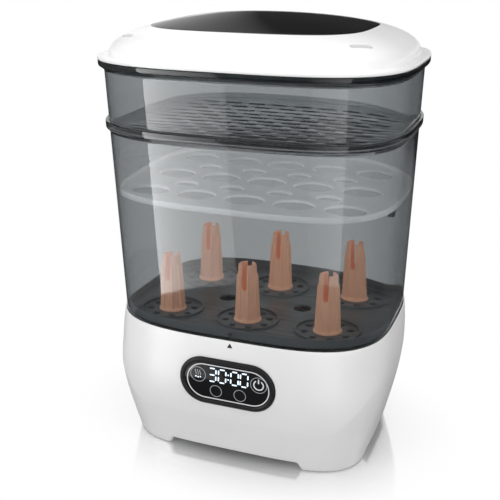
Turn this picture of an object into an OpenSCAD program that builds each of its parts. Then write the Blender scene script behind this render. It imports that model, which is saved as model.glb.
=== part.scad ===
// Bottle sterilizer and dryer: a steam base, a clear chamber in two tiers and a domed lid.
// Millimetres, +Z up, origin on the floor under the middle of the rim.

/* [Plan outline] */
// Width across the clear wall where it leaves the base
body_w = 263.4; // [230:0.2:300]
// Depth across the clear wall where it leaves the base
body_d = 200; // [175:1:235]
// Exponent of the plan outline, higher is squarer
squareness = 3.4; // [2.8:0.1:4]
// Outward slope of the clear walls in degrees
wall_draft = 1.64; // [0.8:0.02:2.4]
// Thickness of the clear walls
wall_t = 2.4; // [1.8:0.1:3]
// Gap left under a piece that lifts off its seat
seat_gap = 0.3; // [0.2:0.05:0.5]

/* [Base] */
// Height of the base housing up to its lip
base_h = 129; // [124:1:156]
// How far below the lip the base is widest
belly_drop = 29; // [20:1:34]
// How far the belly stands out beyond the lip
belly_out = 1.5; // [1:0.1:4]
// How far the foot is drawn in from the belly, each side
foot_in_w = 16.2; // [8:0.2:22]
// How far the foot is drawn in from the belly, front and rear
foot_in_d = 19; // [10:0.2:22]
// How far the foot of the base stands forward of the rim
foot_forward = 9; // [0:0.5:12]
// How much squarer the foot is than the rim
foot_square = 0.8; // [0:0.1:1]
// Wall of the base housing
base_t = 2.6; // [2:0.1:3]
// Depth of the lip that the clear wall stands in
lip_depth = 5; // [4:0.5:7]
// Thickness of that lip
lip_t = 1.2; // [1:0.1:1.6]
// Gap between the lip and the clear wall
lip_clear = 0.35; // [0.3:0.05:0.6]
// Width of the ledge that carries the deck
ledge_w = 8; // [7:0.5:10]
// Height of the crease on the front
crease_h = 48; // [40:1:56]
// How far the crease climbs round the corners
crease_rise = 38; // [20:1:40]
// How far the crease stands out
crease_out = 2; // [0:0.1:3]
// Height of the arches between the feet
arch_h = 8.5; // [5:0.5:10]
// Width of the front and rear arches
arch_w = 132; // [90:1:140]
// Width of the side arches
arch_side_w = 76; // [50:1:90]
// Height that the rubber feet hold the housing off the floor
foot_proud = 1; // [0.6:0.1:1.5]

/* [Controls] */
// Width of the control bezel
bezel_w = 94; // [84:1:104]
// Height of the control bezel
bezel_h = 47.5; // [42:0.5:50]
// How far the middle of the bezel lies below the lip
bezel_drop = 41.9; // [40:0.1:48]
// Width of the bezel's flat ring
bezel_ring = 4.8; // [4:0.1:6.5]
// Thickness of the touch glass
glass_t = 2.5; // [2:0.1:3]

/* [Heater] */
// Radius of the heating plate's flange
plate_r = 63.5; // [55:0.5:66]
// Depth of the heating plate
plate_depth = 8.5; // [6:0.5:9]
// Radius of the element's ring
element_r = 38; // [30:1:42]
// Radius of the element's tube
element_tube = 3.5; // [3:0.1:4]
// Radius of the thermostat
thermostat_r = 8; // [6:0.5:10]

/* [Dryer] */
// Sideways place of the filter and the fan
fan_x = -22; // [-30:1:-15]
// Height of the fan's shaft
fan_z = 58; // [54:1:62]
// Outer radius of the fan housing
fan_r = 34; // [30:0.5:36]
// Depth of the fan housing along its shaft
fan_depth = 27; // [24:1:28]
// Radius of the fan's shaft
shaft_r = 1.5; // [1.2:0.1:2]
// Radial running clearance of the shaft in the motor
shaft_clear = 0.05; // [0.02:0.01:0.1]
// Number of impeller blades
blades = 24; // [12:1:30]
// Width of the filter cover
cover_w = 62; // [54:1:64]
// Height of the filter cover
cover_h = 44; // [38:1:46]
// Depth of the filter tray
tray_depth = 17.5; // [14:0.5:19]
// Inner height of the air duct
duct_h = 24; // [20:1:26]

/* [Rack] */
// Thickness of the rack's floor
rack_t = 2.5; // [2:0.1:3]
// Height of the rack's rim above its floor
rack_rim_h = 6; // [4:0.5:10]
// Height of the rack's legs
rack_leg_h = 6.2; // [5.8:0.1:9]
// Radius of the ring that a bottle's neck stands in
ring_r = 30; // [26:0.5:32]
// Gap from the outer rings to the rack's edge at the sides
ring_side = 20; // [14:0.5:26]
// Gap from the front rings to the rack's front edge
ring_front = 16.4; // [12:0.2:20]
// Gap from the rear rings to the rack's rear edge
ring_rear = 21.4; // [14:0.2:26]
// Height of a bottle post above the rack
post_h = 55; // [45:1:62]
// Radius of a bottle post at its foot
post_r = 11; // [9:0.5:13]

/* [Tiers] */
// Height of the lower chamber above the base
chamber_h = 180.5; // [160:0.5:220]
// Height of the band that holds the upper tier
band_h = 6.5; // [5:0.5:12]
// Height of the accessory shelf above the base
shelf_z = 119; // [100:1:130]
// Height of the upper tier
tier_h = 60.2; // [45:0.2:80]
// How far the rim flares beyond the wall
rim_out = 4.4; // [3.5:0.1:6]
// Height of the flared rim
rim_h = 5; // [4:0.5:7]
// Length of a slot in the tier's floor
slot_l = 18; // [12:1:20]
// Width of a slot in the tier's floor
slot_w = 5; // [3:0.5:6]

/* [Lid] */
// How far the foot of the dome is set in from the rim
dome_in = 9.1; // [8.8:0.1:11]
// Height of the dome above the flange
dome_h = 33.7; // [26:0.1:44]
// Wall of the lid
lid_t = 2.4; // [2:0.1:3]
// Width of the gloss insert
insert_w = 196.2; // [150:0.2:200]
// Thickness of the gloss insert
insert_t = 1.8; // [1.4:0.1:2.4]
// Length of a steam vent
vent_l = 20; // [14:1:22]
// Width of a steam vent
vent_w = 4.5; // [3:0.1:5]

/* [Hidden] */
// Points round each plan outline
POINTS = 72;
$fn = 48;
// A cut runs this far past the face it opens
EPS = 1;

// Heights of the seats, from the base upwards
deck_t = 3;
deck_top = base_h - lip_depth;
deck_z = deck_top - deck_t;
gasket_t = 1.5;
chamber_foot = deck_top + gasket_t + seat_gap;
band_seat = base_h + chamber_h;
band_top = band_seat + band_h;
tier_foot = band_seat + seat_gap;
tier_top = band_seat + tier_h;
lid_z = tier_top + seat_gap;
dome_foot = lid_z + 3.6;
belly_z = base_h - belly_drop;
bezel_z = base_h - bezel_drop;
band_clear = 0.5;

// Half-widths of the clear wall at a height
function wall_hw(z) = body_w / 2 + (z - base_h) * tan(wall_draft);
function wall_hd(z) = body_d / 2 + (z - base_h) * tan(wall_draft);

// Radius of a superellipse with half-widths a and b at polar angle p
function outline_r(a, b, n, p) = pow(pow(abs(cos(p)) / a, n) + pow(abs(sin(p)) / b, n), -1 / n);

// Plan outline as points
function outline(a, b, n = squareness) = [for (i = [0:POINTS - 1])
    let (p = 360 * i / POINTS, r = outline_r(a, b, n, p)) [r * cos(p), r * sin(p)]];

// The same outline lifted to a height
function lifted(points, z) = [for (q = points) [q.x, q.y, z]];
function wall_ring(z, grow) = lifted(outline(wall_hw(z) + grow, wall_hd(z) + grow), z);

// Smooth step from 0 to 1
function ease(t) = let (c = max(0, min(1, t))) c * c * (3 - 2 * c);

// Closed skin through rings of points, capped at both ends or joined back to its first ring
module skin(rings, capped = false) {
    n = len(rings[0]);
    count = len(rings);
    sides = [for (k = [0:capped ? count - 2 : count - 1], i = [0:n - 1])
        let (k2 = (k + 1) % count, i2 = (i + 1) % n)
        each [[k * n + i, k2 * n + i, k2 * n + i2], [k * n + i, k2 * n + i2, k * n + i2]]];
    bottom = [for (i = [0:n - 1]) i];
    top = [for (i = [n - 1:-1:0]) (count - 1) * n + i];
    polyhedron([for (r = rings) each r], capped ? concat(sides, [bottom, top]) : sides);
}

// Flat stadium with round ends
module stadium(w, h) {
    square([w - h, h], center = true);
    for (side = [-1, 1]) translate([side * (w - h) / 2, 0]) circle(d = h);
}

// Plate standing upright behind the front, its front face at y
module upright(y, t) translate([0, y + t, 0]) rotate([90, 0, 0]) linear_extrude(t) children();

// Flat plate with the chamber's outline
module plan_plate(z, t, grow) {
    translate([0, 0, z]) linear_extrude(t) difference() {
        polygon(outline(wall_hw(z) + grow, wall_hd(z) + grow));
        children();
    }
}

// ---------- base ----------
lip_hw = body_w / 2 + lip_clear + lip_t;
lip_hd = body_d / 2 + lip_clear + lip_t;
belly_hw = lip_hw + belly_out;
belly_hd = lip_hd + belly_out;
foot_hw = belly_hw - foot_in_w;
foot_hd = belly_hd - foot_in_d;
function swell(z) = pow(sin(90 * min(z, belly_z) / belly_z), 1.1);
function above(z) = cos(90 * max(0, z - belly_z) / (base_h - belly_z));
function base_hw(z) = z < belly_z ? foot_hw + foot_in_w * swell(z) : lip_hw + belly_out * above(z);
function base_hd(z) = z < belly_z ? foot_hd + foot_in_d * swell(z) : lip_hd + belly_out * above(z);
function base_y(z) = -foot_forward * (1 - z / base_h);
function base_n(z) = squareness + foot_square * (1 - z / base_h);

// Share of the half-width that polar angle p reaches, which shapes the crease
function reach(p) = outline_r(belly_hw, belly_hd, squareness, p) * abs(cos(p)) / belly_hw;
function crease_z(p) = crease_h + crease_rise * ease((reach(p) - 0.7) / 0.3);
function crease(p, z) = crease_out * (1 - ease((reach(p) - 0.88) / 0.12))
    * (z < crease_z(p) ? z / crease_z(p) : max(0, (belly_z - z) / (belly_z - crease_z(p))));
function base_point(p, z, inset) = let (
    r = outline_r(base_hw(z) + crease(p, z) - inset, base_hd(z) + crease(p, z) - inset, base_n(z), p))
    [r * cos(p), r * sin(p) + base_y(z), z];

// Lower edge of the housing: feet at the corners, arches between them
function edge_z(p) = let (r = outline_r(foot_hw, foot_hd, base_n(0), p), ramp = 8)
    foot_proud + arch_h * max(ease((arch_w / 2 - abs(r * cos(p))) / ramp + 0.5),
        ease((arch_side_w / 2 - abs(r * sin(p))) / ramp + 0.5));
function base_level(p, f) = f < 1 ? edge_z(p) + (crease_z(p) - edge_z(p)) * f
    : crease_z(p) + (base_h - crease_z(p)) * (f - 1);
function base_ring(f, inset) = [for (i = [0:POINTS - 1])
    let (p = 360 * i / POINTS) base_point(p, base_level(p, f), inset)];
function base_flat_ring(z, inset) = [for (i = [0:POINTS - 1]) base_point(360 * i / POINTS, z, inset)];
function base_rear(x, z) = base_y(z)
    + base_hd(z) * pow(1 - pow(abs(x) / base_hw(z), base_n(z)), 1 / base_n(z));
function base_front(x, z) = 2 * base_y(z) - base_rear(x, z);

// Filter bay: an outward frame square to the sloping rear wall
filter_z = 55;
filter_y = base_rear(fan_x, filter_z);
filter_tilt = atan2(base_rear(fan_x, filter_z + 20) - base_rear(fan_x, filter_z - 20), 40);
bay_wall = 8;
bay_depth = 24;
bay_face = 2.8;
tray_gap = 0.3;
tray_w = cover_w - 8;
tray_h = cover_h - 8;
// The fan stands clear of the bay's inner end
fan_gap = 5.6;
fan_back_y = filter_y - bay_depth * cos(filter_tilt) - (tray_h / 2 + bay_wall) * sin(filter_tilt) - fan_gap;
fan_front_y = fan_back_y - fan_depth;
module at_filter() translate([fan_x, filter_y, filter_z]) rotate([-filter_tilt, 0, 0]) children();
module filter_box(w, h, y, depth) translate([-w / 2, y, -h / 2]) cube([w, depth, h]);

// Cord entry low on the rear wall
cord_x = 72;
cord_z = 36;
gland_r = 6;
gland_flange_r = 8;
gland_flange_t = 3;
cord_r = 3.6;
cord_seat = base_rear(cord_x, cord_z) - 5.5;
cord_block = 10;
module at_cord() translate([cord_x, cord_seat, cord_z]) rotate([-90, 0, 0]) children();

// Screw places for the bottom cover and the deck
cover_z = foot_proud + arch_h;
cover_t = 2.5;
cover_top = cover_z + cover_t;
boss_r = 6.5;
boss_h = 14;
boss_in = base_t + 4.6;
boss_x = 75;
boss_spots = [
    for (side = [-1, 1]) [side * (base_hw(cover_top) - boss_in), base_y(cover_top)],
    for (side = [-1, 1]) [side * boss_x, base_rear(boss_x, cover_top) - boss_in],
    for (side = [-1, 1]) [side * boss_x, base_front(boss_x, cover_top) + boss_in]];
deck_screw_in = 5.4;
deck_screw_x = 60;
deck_screw_y = outline_r(body_w / 2, body_d / 2, squareness, atan2(body_d / 2, deck_screw_x))
    * sin(atan2(body_d / 2, deck_screw_x)) - deck_screw_in;
deck_spots = [
    for (side = [-1, 1]) [side * (body_w / 2 - deck_screw_in), 0],
    for (sx = [-1, 1], sy = [-1, 1]) [sx * deck_screw_x, sy * deck_screw_y]];

// Control panel stack, from the bezel's face inwards
bezel_front = base_front(0, bezel_z) - crease_out / 2 - 0.6;
bezel_t = 2.6;
bezel_lap = 3;
bezel_neck = 5;
fit = 0.3;
bezel_seat = bezel_front + bezel_t;
glass_w = bezel_w - 2 * bezel_ring;
glass_h = bezel_h - 2 * bezel_ring;
glass_front = bezel_front + 0.6;
glass_back = glass_front + glass_t;
bezel_inner_t = 1.2;
board_front = bezel_seat + bezel_neck + 2;
board_t = 1.6;
board_w = 84;
board_h = 38;
board_spots = [for (sx = [-1, 1], sz = [-1, 1]) [sx * 37.2, sz * 12.7]];

module base_housing() {
    color("#f1f1f1") difference() {
        union() {
            skin(concat(
                [for (f = [0, 0.35, 0.7, 1, 1.2, 1.45, 1.7, 1.85, 2]) base_ring(f, 0)],
                [lifted(outline(body_w / 2 + lip_clear, body_d / 2 + lip_clear), base_h),
                 lifted(outline(body_w / 2 + lip_clear, body_d / 2 + lip_clear), deck_z),
                 lifted(outline(body_w / 2 - ledge_w, body_d / 2 - ledge_w), deck_z),
                 lifted(outline(body_w / 2 - ledge_w, body_d / 2 - ledge_w), deck_z - 4)],
                [for (z = [deck_z - 12, 85, 62, 42, 22]) base_flat_ring(z, base_t)],
                [base_ring(0, base_t)]));
            at_filter()
                filter_box(tray_w + 2 * bay_wall, tray_h + 2 * bay_wall, -bay_depth, bay_depth - bay_face);
            at_cord() translate([0, 0, -cord_block]) cylinder(r = gland_flange_r + 4, h = cord_block);
            for (q = boss_spots) translate([q.x, q.y, cover_top]) cylinder(r = boss_r, h = boss_h);
        }
        at_filter() filter_box(cover_w + 2 * fit, cover_h + 2 * fit, -bay_face, 12);
        at_filter() filter_box(tray_w + 2 * tray_gap, tray_h + 2 * tray_gap, -30, 30);
        at_cord() cylinder(r = gland_flange_r + 0.6, h = 20);
        at_cord() translate([0, 0, -cord_block - EPS]) cylinder(r = gland_r + 0.1, h = 20);
        for (q = boss_spots) translate([q.x, q.y, cover_top - EPS]) cylinder(r = 1.6, h = 12 + EPS);
        for (q = deck_spots) translate([q.x, q.y, deck_z - 8]) cylinder(r = 1.35, h = 8 + EPS);
        translate([0, 0, bezel_z]) upright(bezel_front - 4, 4 + bezel_t)
            stadium(bezel_w + 2 * fit, bezel_h + 2 * fit);
        translate([0, 0, bezel_z]) upright(bezel_front - 4, 14)
            stadium(bezel_w - 2 * bezel_lap + 2 * fit, bezel_h - 2 * bezel_lap + 2 * fit);
    }
}

foot_r = 10;
foot_set_in = 31;
foot_stud_r = 3;
foot_t = 3;
foot_spots = [for (sx = [-1, 1], sy = [-1, 1])
    [sx * (foot_hw - foot_set_in), sy * (foot_hd - foot_set_in + 3) + base_y(0)]];
power_w = 90;
power_d = 66;
power_z = 16;
board_x = base_hw(power_z) - base_t - power_w / 2 - 14.5;
board_y = -25;
power_spots = [for (sx = [-1, 1], sy = [-1, 1]) [board_x + sx * 40, board_y + sy * 28]];

module bottom_cover() {
    cover_gap = 0.4;
    color("#d9d9d9") difference() {
        union() {
            translate([0, base_y(cover_z), cover_z]) linear_extrude(cover_t)
                polygon(outline(base_hw(cover_z) - base_t - cover_gap, base_hd(cover_z) - base_t - cover_gap,
                    base_n(cover_z)));
            for (q = foot_spots) translate([q.x, q.y, foot_t])
                cylinder(r = foot_r + 2, h = cover_z - foot_t + 1);
            for (q = power_spots) translate([q.x, q.y, cover_z]) cylinder(r = 3.5, h = power_z - cover_z);
        }
        for (q = foot_spots) translate([q.x, q.y, foot_t - EPS]) cylinder(r = foot_stud_r + 0.1, h = 4 + EPS);
        for (q = boss_spots) translate([q.x, q.y, cover_z - EPS]) cylinder(r = 1.8, h = cover_t + 2 * EPS);
        for (q = power_spots) translate([q.x, q.y, power_z - 5]) cylinder(r = 1.2, h = 5 + EPS);
        for (i = [-3:3]) translate([i * 9, 18, cover_z - EPS]) linear_extrude(cover_t + 2 * EPS)
            rotate(90) stadium(40, 3.5);
    }
}

module rubber_feet() {
    color("#3a3a3a") for (q = foot_spots) translate([q.x, q.y, 0]) rotate_extrude()
        polygon([[0, 0], [foot_r - 1, 0], [foot_r, 1], [foot_r, foot_t], [foot_stud_r, foot_t],
            [foot_stud_r, foot_t + 3.6], [0, foot_t + 3.6]]);
}

// Countersunk-style screw along +Z with its head below z = 0
module screw(head_r, head_t, r, l) {
    translate([0, 0, -head_t]) difference() {
        cylinder(r = head_r, h = head_t);
        translate([0, 0, -EPS]) linear_extrude(head_t / 2 + EPS) {
            square([head_r * 1.3, head_r * 0.3], center = true);
            square([head_r * 0.3, head_r * 1.3], center = true);
        }
    }
    cylinder(r = r, h = l);
}

module bottom_screws() {
    color("silver") for (q = boss_spots) translate([q.x, q.y, cover_z]) screw(2.6, 1.8, 1.5, 12);
}

plate_in_r = plate_r - 6;
collar_r = plate_r + 0.5;
collar_t = 3;
collar_z = deck_z - 3;
gasket_in_r = plate_r - 2.7;
duct_w = fan_depth;
riser_x = collar_r + collar_t + 1;
riser_w = 24;
duct_t = 1.6;

module top_deck() {
    color("#4a4c4d") union() {
        plan_plate(deck_z, deck_t, -0.2) {
            circle(r = collar_r, $fn = 96);
            translate([riser_x + duct_t, fan_front_y + duct_t])
                square([riser_w - 2 * duct_t, duct_w - 2 * duct_t]);
            for (q = deck_spots) translate(q) circle(r = 1.6, $fn = 24);
        }
        rotate_extrude($fn = 96) polygon([[plate_r - 3, collar_z], [collar_r + collar_t, collar_z],
            [collar_r + collar_t, deck_top], [collar_r, deck_top], [collar_r, collar_z + 2],
            [plate_r - 3, collar_z + 2]]);
    }
}

module deck_screws() {
    color("silver") for (q = deck_spots) translate([q.x, q.y, deck_top]) rotate([180, 0, 0])
        screw(2.3, 1.4, 1.3, 9);
}

module chamber_gasket() {
    color("#9a9c9e") plan_plate(deck_top, gasket_t, -0.2)
        polygon(outline(body_w / 2 - wall_t - 0.4, body_d / 2 - wall_t - 0.4));
}

plate_flange_z = collar_z + 2 + gasket_t;
plate_z = plate_flange_z - plate_depth;
plate_t = 1;

module heating_plate() {
    color("#c9cacb") rotate_extrude($fn = 96) polygon([[0, plate_z], [plate_in_r - 9.5, plate_z],
        [plate_in_r, plate_flange_z], [plate_r, plate_flange_z], [plate_r, plate_flange_z + plate_t],
        [plate_in_r - 0.5, plate_flange_z + plate_t], [plate_in_r - 10, plate_z + plate_t],
        [0, plate_z + plate_t]]);
}

module plate_gasket() {
    color("#8d8f90") translate([0, 0, collar_z + 2]) difference() {
        cylinder(r = plate_r + 0.2, h = gasket_t, $fn = 96);
        translate([0, 0, -EPS]) cylinder(r = gasket_in_r, h = gasket_t + 2 * EPS, $fn = 96);
    }
}

module heating_element() {
    tube_z = plate_z - element_tube;
    color("#8a8a88") union() {
        rotate_extrude($fn = 96) translate([element_r, tube_z]) {
            circle(r = element_tube, $fn = 32);
            translate([-element_tube, 0]) square([2 * element_tube, element_tube]);
        }
        for (a = [-100, -80]) rotate(a) translate([element_r, 0, tube_z - 10]) cylinder(r = 2.2, h = 10);
    }
}

bracket_z = plate_z - 2 * element_tube - 2;
bracket_t = 1.5;
bracket_x = element_r + element_tube + 2;

module element_bracket() {
    color("#b5b6b7") union() {
        translate([-bracket_x - 3, -6, bracket_z]) cube([2 * bracket_x + 6, 12, bracket_t]);
        for (side = [-1, 1]) translate([side * (bracket_x + 1.5) - 1.5, -6, bracket_z])
            cube([3, 12, plate_z - bracket_z]);
    }
}

module thermostat() {
    seat = bracket_z + bracket_t;
    color("#2e2e2e") union() {
        translate([0, 0, seat]) cylinder(r = thermostat_r, h = plate_z - seat);
        for (side = [-1, 1]) translate([side * 5 - 1.6, 7, seat + 1]) cube([3.2, 9, 0.8]);
    }
}

module control_bezel() {
    neck_w = bezel_w - 2 * bezel_lap;
    neck_h = bezel_h - 2 * bezel_lap;
    color("#3b3b3c") translate([0, 0, bezel_z]) difference() {
        union() {
            upright(bezel_front, bezel_t) stadium(bezel_w, bezel_h);
            upright(bezel_seat - EPS, bezel_neck + EPS) stadium(neck_w, neck_h);
            for (q = board_spots) translate([q.x, bezel_seat + bezel_neck - EPS, q.y]) rotate([-90, 0, 0])
                cylinder(r = 1.9, h = 2 + EPS, $fn = 24);
        }
        upright(bezel_front - EPS, glass_back - bezel_front + EPS) stadium(glass_w, glass_h);
        upright(glass_back - EPS, bezel_neck + bezel_t + 2 * EPS) stadium(glass_w - 7, glass_h - 7);
        upright(glass_back + bezel_inner_t, bezel_neck + bezel_t) stadium(glass_w - 4, glass_h - 4);
        for (q = board_spots) translate([q.x, board_front - 5, q.y]) rotate([-90, 0, 0])
            cylinder(r = 1.15, h = 5 + EPS, $fn = 24);
    }
}

module touch_glass() {
    color("#161617") translate([0, 0, bezel_z]) upright(glass_front, glass_t)
        stadium(glass_w - 2 * 0.15, glass_h - 2 * 0.15);
}

module display_module() {
    display_z = bezel_z + 6;
    color("#d8d8d8") translate([-26, glass_back + 0.2, display_z - 8])
        cube([52, board_front - glass_back - 0.25, 16]);
}

module control_board() {
    color("#2f6b45") translate([0, 0, bezel_z]) difference() {
        union() {
            upright(board_front, board_t) square([board_w, board_h], center = true);
            translate([-8, board_front + board_t, -13]) cube([14, 2, 14]);
            translate([14, board_front + board_t, -15]) cube([18, 7, 6]);
        }
        for (q = board_spots) translate([q.x, board_front - EPS, q.y]) rotate([-90, 0, 0])
            cylinder(r = 1.3, h = board_t + 2 * EPS, $fn = 24);
    }
}

module board_screws() {
    color("silver") translate([0, board_front + board_t, bezel_z]) for (q = board_spots)
        translate([q.x, 0, q.y]) rotate([90, 0, 0]) screw(2.2, 1.4, 1.1, 6);
}

module power_board() {
    top = power_z + board_t;
    color("#2f6b45") difference() {
        union() {
            translate([board_x - power_w / 2, board_y - power_d / 2, power_z])
                cube([power_w, power_d, board_t]);
            // Transformer, relay, capacitor and heat sink
            translate([board_x - 30, board_y - 18, top]) cube([30, 26, 22]);
            translate([board_x + 8, board_y + 6, top]) cube([20, 16, 15]);
            translate([board_x + 18, board_y - 16, top]) cylinder(r = 7, h = 20);
            translate([board_x - 4, board_y - 30, top]) cube([30, 4, 18]);
        }
        for (q = power_spots) translate([q.x, q.y, power_z - EPS]) cylinder(r = 1.4, h = board_t + 2 * EPS);
    }
}

// ---------- drying fan ----------
fan_t = 1.8;
outlet_z = fan_z + fan_r - duct_h;
outlet_x = 18;
motor_r = 14;
motor_l = 22;
motor_boss_r = 5;
impeller_r = fan_r - 5;
impeller_y = fan_front_y + 5;
fan_ears = [for (a = [160, 200, 300]) [fan_r * cos(a), fan_r * sin(a)]];
module along_y(x, y, z) translate([x, y, z]) rotate([-90, 0, 0]) children();

module fan_housing() {
    inner_r = fan_r - fan_t;
    color("#55585a") difference() {
        union() {
            along_y(fan_x, fan_front_y, fan_z) cylinder(r = fan_r, h = fan_depth, $fn = 96);
            translate([fan_x, fan_front_y, outlet_z]) cube([outlet_x - fan_x, fan_depth, duct_h]);
            for (q = fan_ears) along_y(fan_x + q.x, fan_front_y, fan_z + q.y) cylinder(r = 4, h = fan_depth);
            for (side = [-1, 1]) translate([fan_x + side * 22 - 4, fan_front_y, cover_top])
                cube([8, 16, fan_z - cover_top - 24]);
        }
        along_y(fan_x, fan_front_y + fan_t, fan_z) cylinder(r = inner_r, h = fan_depth, $fn = 96);
        translate([fan_x, fan_front_y + fan_t, outlet_z + fan_t])
            cube([outlet_x - fan_x + EPS, fan_depth, duct_h - 2 * fan_t]);
        along_y(fan_x, fan_front_y - EPS, fan_z) cylinder(r = motor_boss_r + 0.3, h = fan_t + 2 * EPS);
        for (q = fan_ears) along_y(fan_x + q.x, fan_back_y - 9, fan_z + q.y) cylinder(r = 1.2, h = 10);
    }
}

module fan_cover() {
    color("#4c4f51") difference() {
        union() {
            along_y(fan_x, fan_back_y, fan_z) cylinder(r = fan_r, h = fan_t, $fn = 96);
            translate([fan_x, fan_back_y, outlet_z]) cube([outlet_x - fan_x, fan_t, duct_h]);
            for (q = fan_ears) along_y(fan_x + q.x, fan_back_y, fan_z + q.y) cylinder(r = 4, h = fan_t);
            along_y(fan_x, fan_back_y, fan_z) cylinder(r1 = 24, r2 = 21, h = 4, $fn = 64);
        }
        along_y(fan_x, fan_back_y - EPS, fan_z) cylinder(r = 19, h = 4 + 2 * EPS, $fn = 64);
        for (q = fan_ears) along_y(fan_x + q.x, fan_back_y - EPS, fan_z + q.y) cylinder(r = 1.4, h = 6);
    }
}

module fan_screws() {
    color("silver") for (q = fan_ears) translate([fan_x + q.x, fan_back_y + fan_t, fan_z + q.y])
        rotate([90, 0, 0]) screw(2.4, 1.4, 1.15, 8);
}

module fan_motor() {
    color("#9fa2a5") along_y(fan_x, fan_front_y - motor_l, fan_z) difference() {
        union() {
            cylinder(r = motor_r, h = motor_l - 1.5);
            translate([0, 0, motor_l - 1.5]) cylinder(r = 20, h = 1.5);
            cylinder(r = motor_boss_r, h = motor_l + 3);
        }
        translate([0, 0, 2]) cylinder(r = shaft_r + shaft_clear, h = motor_l + 2, $fn = 32);
    }
}

module fan_shaft() {
    color("silver") along_y(fan_x, fan_front_y - motor_l + 2.5, fan_z)
        cylinder(r = shaft_r, h = impeller_y + fan_depth - 8.5 - (fan_front_y - motor_l + 2.5), $fn = 32);
}

module fan_impeller() {
    blade_l = fan_depth - 10;
    hub_r = 6;
    color("#e6e6e6") along_y(fan_x, impeller_y, fan_z) difference() {
        union() {
            cylinder(r = impeller_r, h = 1.4, $fn = 96);
            cylinder(r = hub_r, h = blade_l);
            for (i = [0:blades - 1]) rotate(360 * i / blades) translate([impeller_r - 9, -0.5, 1])
                cube([8.2, 1, blade_l - 0.5]);
            translate([0, 0, blade_l - 0.5]) difference() {
                cylinder(r = impeller_r, h = 1.4, $fn = 96);
                translate([0, 0, -EPS]) cylinder(r = impeller_r - 2.5, h = 4, $fn = 96);
            }
        }
        translate([0, 0, -EPS]) cylinder(r = shaft_r + 0.02, h = blade_l + 2 * EPS, $fn = 32);
    }
}

duct_end_x = riser_x + riser_w;

module air_duct() {
    color("#63676a") difference() {
        union() {
            translate([outlet_x, fan_front_y, outlet_z]) cube([duct_end_x - outlet_x, duct_w, duct_h]);
            translate([riser_x, fan_front_y, outlet_z]) cube([riser_w, duct_w, deck_z - outlet_z]);
        }
        translate([outlet_x - EPS, fan_front_y + duct_t, outlet_z + duct_t])
            cube([duct_end_x - outlet_x - duct_t + EPS, duct_w - 2 * duct_t, duct_h - 2 * duct_t]);
        translate([riser_x + duct_t, fan_front_y + duct_t, outlet_z + duct_t])
            cube([riser_w - 2 * duct_t, duct_w - 2 * duct_t, deck_z - outlet_z]);
    }
}

module air_heater() {
    block_l = 30;
    block_w = duct_w - 2 * duct_t - 0.4;
    block_h = duct_h - 2 * duct_t - 0.4;
    frame_t = 2;
    fins = 9;
    color("#b9bcbf") translate([outlet_x + 6, fan_front_y + duct_t + 0.2, outlet_z + duct_t + 0.2]) union() {
        difference() {
            cube([block_l, block_w, block_h]);
            translate([-EPS, frame_t, frame_t])
                cube([block_l + 2 * EPS, block_w - 2 * frame_t, block_h - 2 * frame_t]);
        }
        for (i = [1:fins]) translate([0, i * block_w / (fins + 1) - 0.4, frame_t - 0.5])
            cube([block_l, 0.8, block_h - 2 * frame_t + 1]);
    }
}

module air_outlet_cap() {
    cap_h = 4.6;
    cap_over = 2;
    color("#3f4142") translate([riser_x - cap_over, fan_front_y - cap_over, deck_top]) difference() {
        cube([riser_w + 2 * cap_over, duct_w + 2 * cap_over, cap_h]);
        translate([cap_over, cap_over, -EPS]) cube([riser_w, duct_w, cap_h - 1.4 + EPS]);
        for (i = [0:4]) translate([cap_over + 1.5 + i * 4.6, -EPS, 0.9])
            cube([2.8, duct_w + 2 * cap_over + 2 * EPS, 2]);
    }
}

// ---------- filter ----------
module filter_cover() {
    color("#ededed") at_filter() difference() {
        filter_box(cover_w, cover_h, -2.5, 2.8);
        for (i = [-3:3]) translate([-cover_w / 2 + 9, -4, i * 4.6 - 1]) cube([cover_w - 18, 6, 2]);
        translate([0, 2.2, cover_h / 2 - 1]) sphere(r = 5);
    }
}

module filter_tray() {
    frame_t = 1.8;
    color("#d2d4d5") at_filter() difference() {
        filter_box(tray_w, tray_h, -2.5 - tray_depth, tray_depth);
        filter_box(tray_w - 2 * frame_t, tray_h - 2 * frame_t, -2.5 - tray_depth + frame_t, tray_depth);
        for (sx = [-1, 0, 1], sz = [-1, 1]) translate([sx * (tray_w - 10) / 3, 0, sz * (tray_h - 8) / 4])
            filter_box((tray_w - 22) / 3, (tray_h - 16) / 2, -3.5 - tray_depth, 5);
    }
}

module air_filter() {
    frame_t = 1.8;
    pleats = 16;
    w = tray_w - 2 * frame_t - 0.6;
    h = tray_h - 2 * frame_t - 0.6;
    depth = tray_depth - frame_t - 1;
    color("#f7f5ec") at_filter() translate([-w / 2, -3 - depth, -h / 2]) linear_extrude(h) polygon(concat(
        [for (i = [0:pleats]) [w * i / pleats, i % 2 == 0 ? 0 : 2.5]],
        [for (i = [pleats:-1:0]) [w * i / pleats, i % 2 == 0 ? depth - 2.5 : depth]]));
}

// ---------- cord entry ----------
module cord_gland() {
    color("#d0d0d0") at_cord() difference() {
        union() {
            cylinder(r = gland_flange_r, h = gland_flange_t);
            translate([0, 0, -cord_block - 6]) cylinder(r = gland_r, h = cord_block + 6);
        }
        translate([0, 0, -cord_block - 6 - EPS])
            cylinder(r = cord_r, h = cord_block + 6 + gland_flange_t + 2 * EPS);
    }
}

module gland_nut() {
    color("#c4c4c4") at_cord() translate([0, 0, -cord_block - 5]) difference() {
        cylinder(r = 9.5, h = 5, $fn = 6);
        translate([0, 0, -EPS]) cylinder(r = gland_r + 0.05, h = 5 + 2 * EPS);
    }
}

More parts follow.
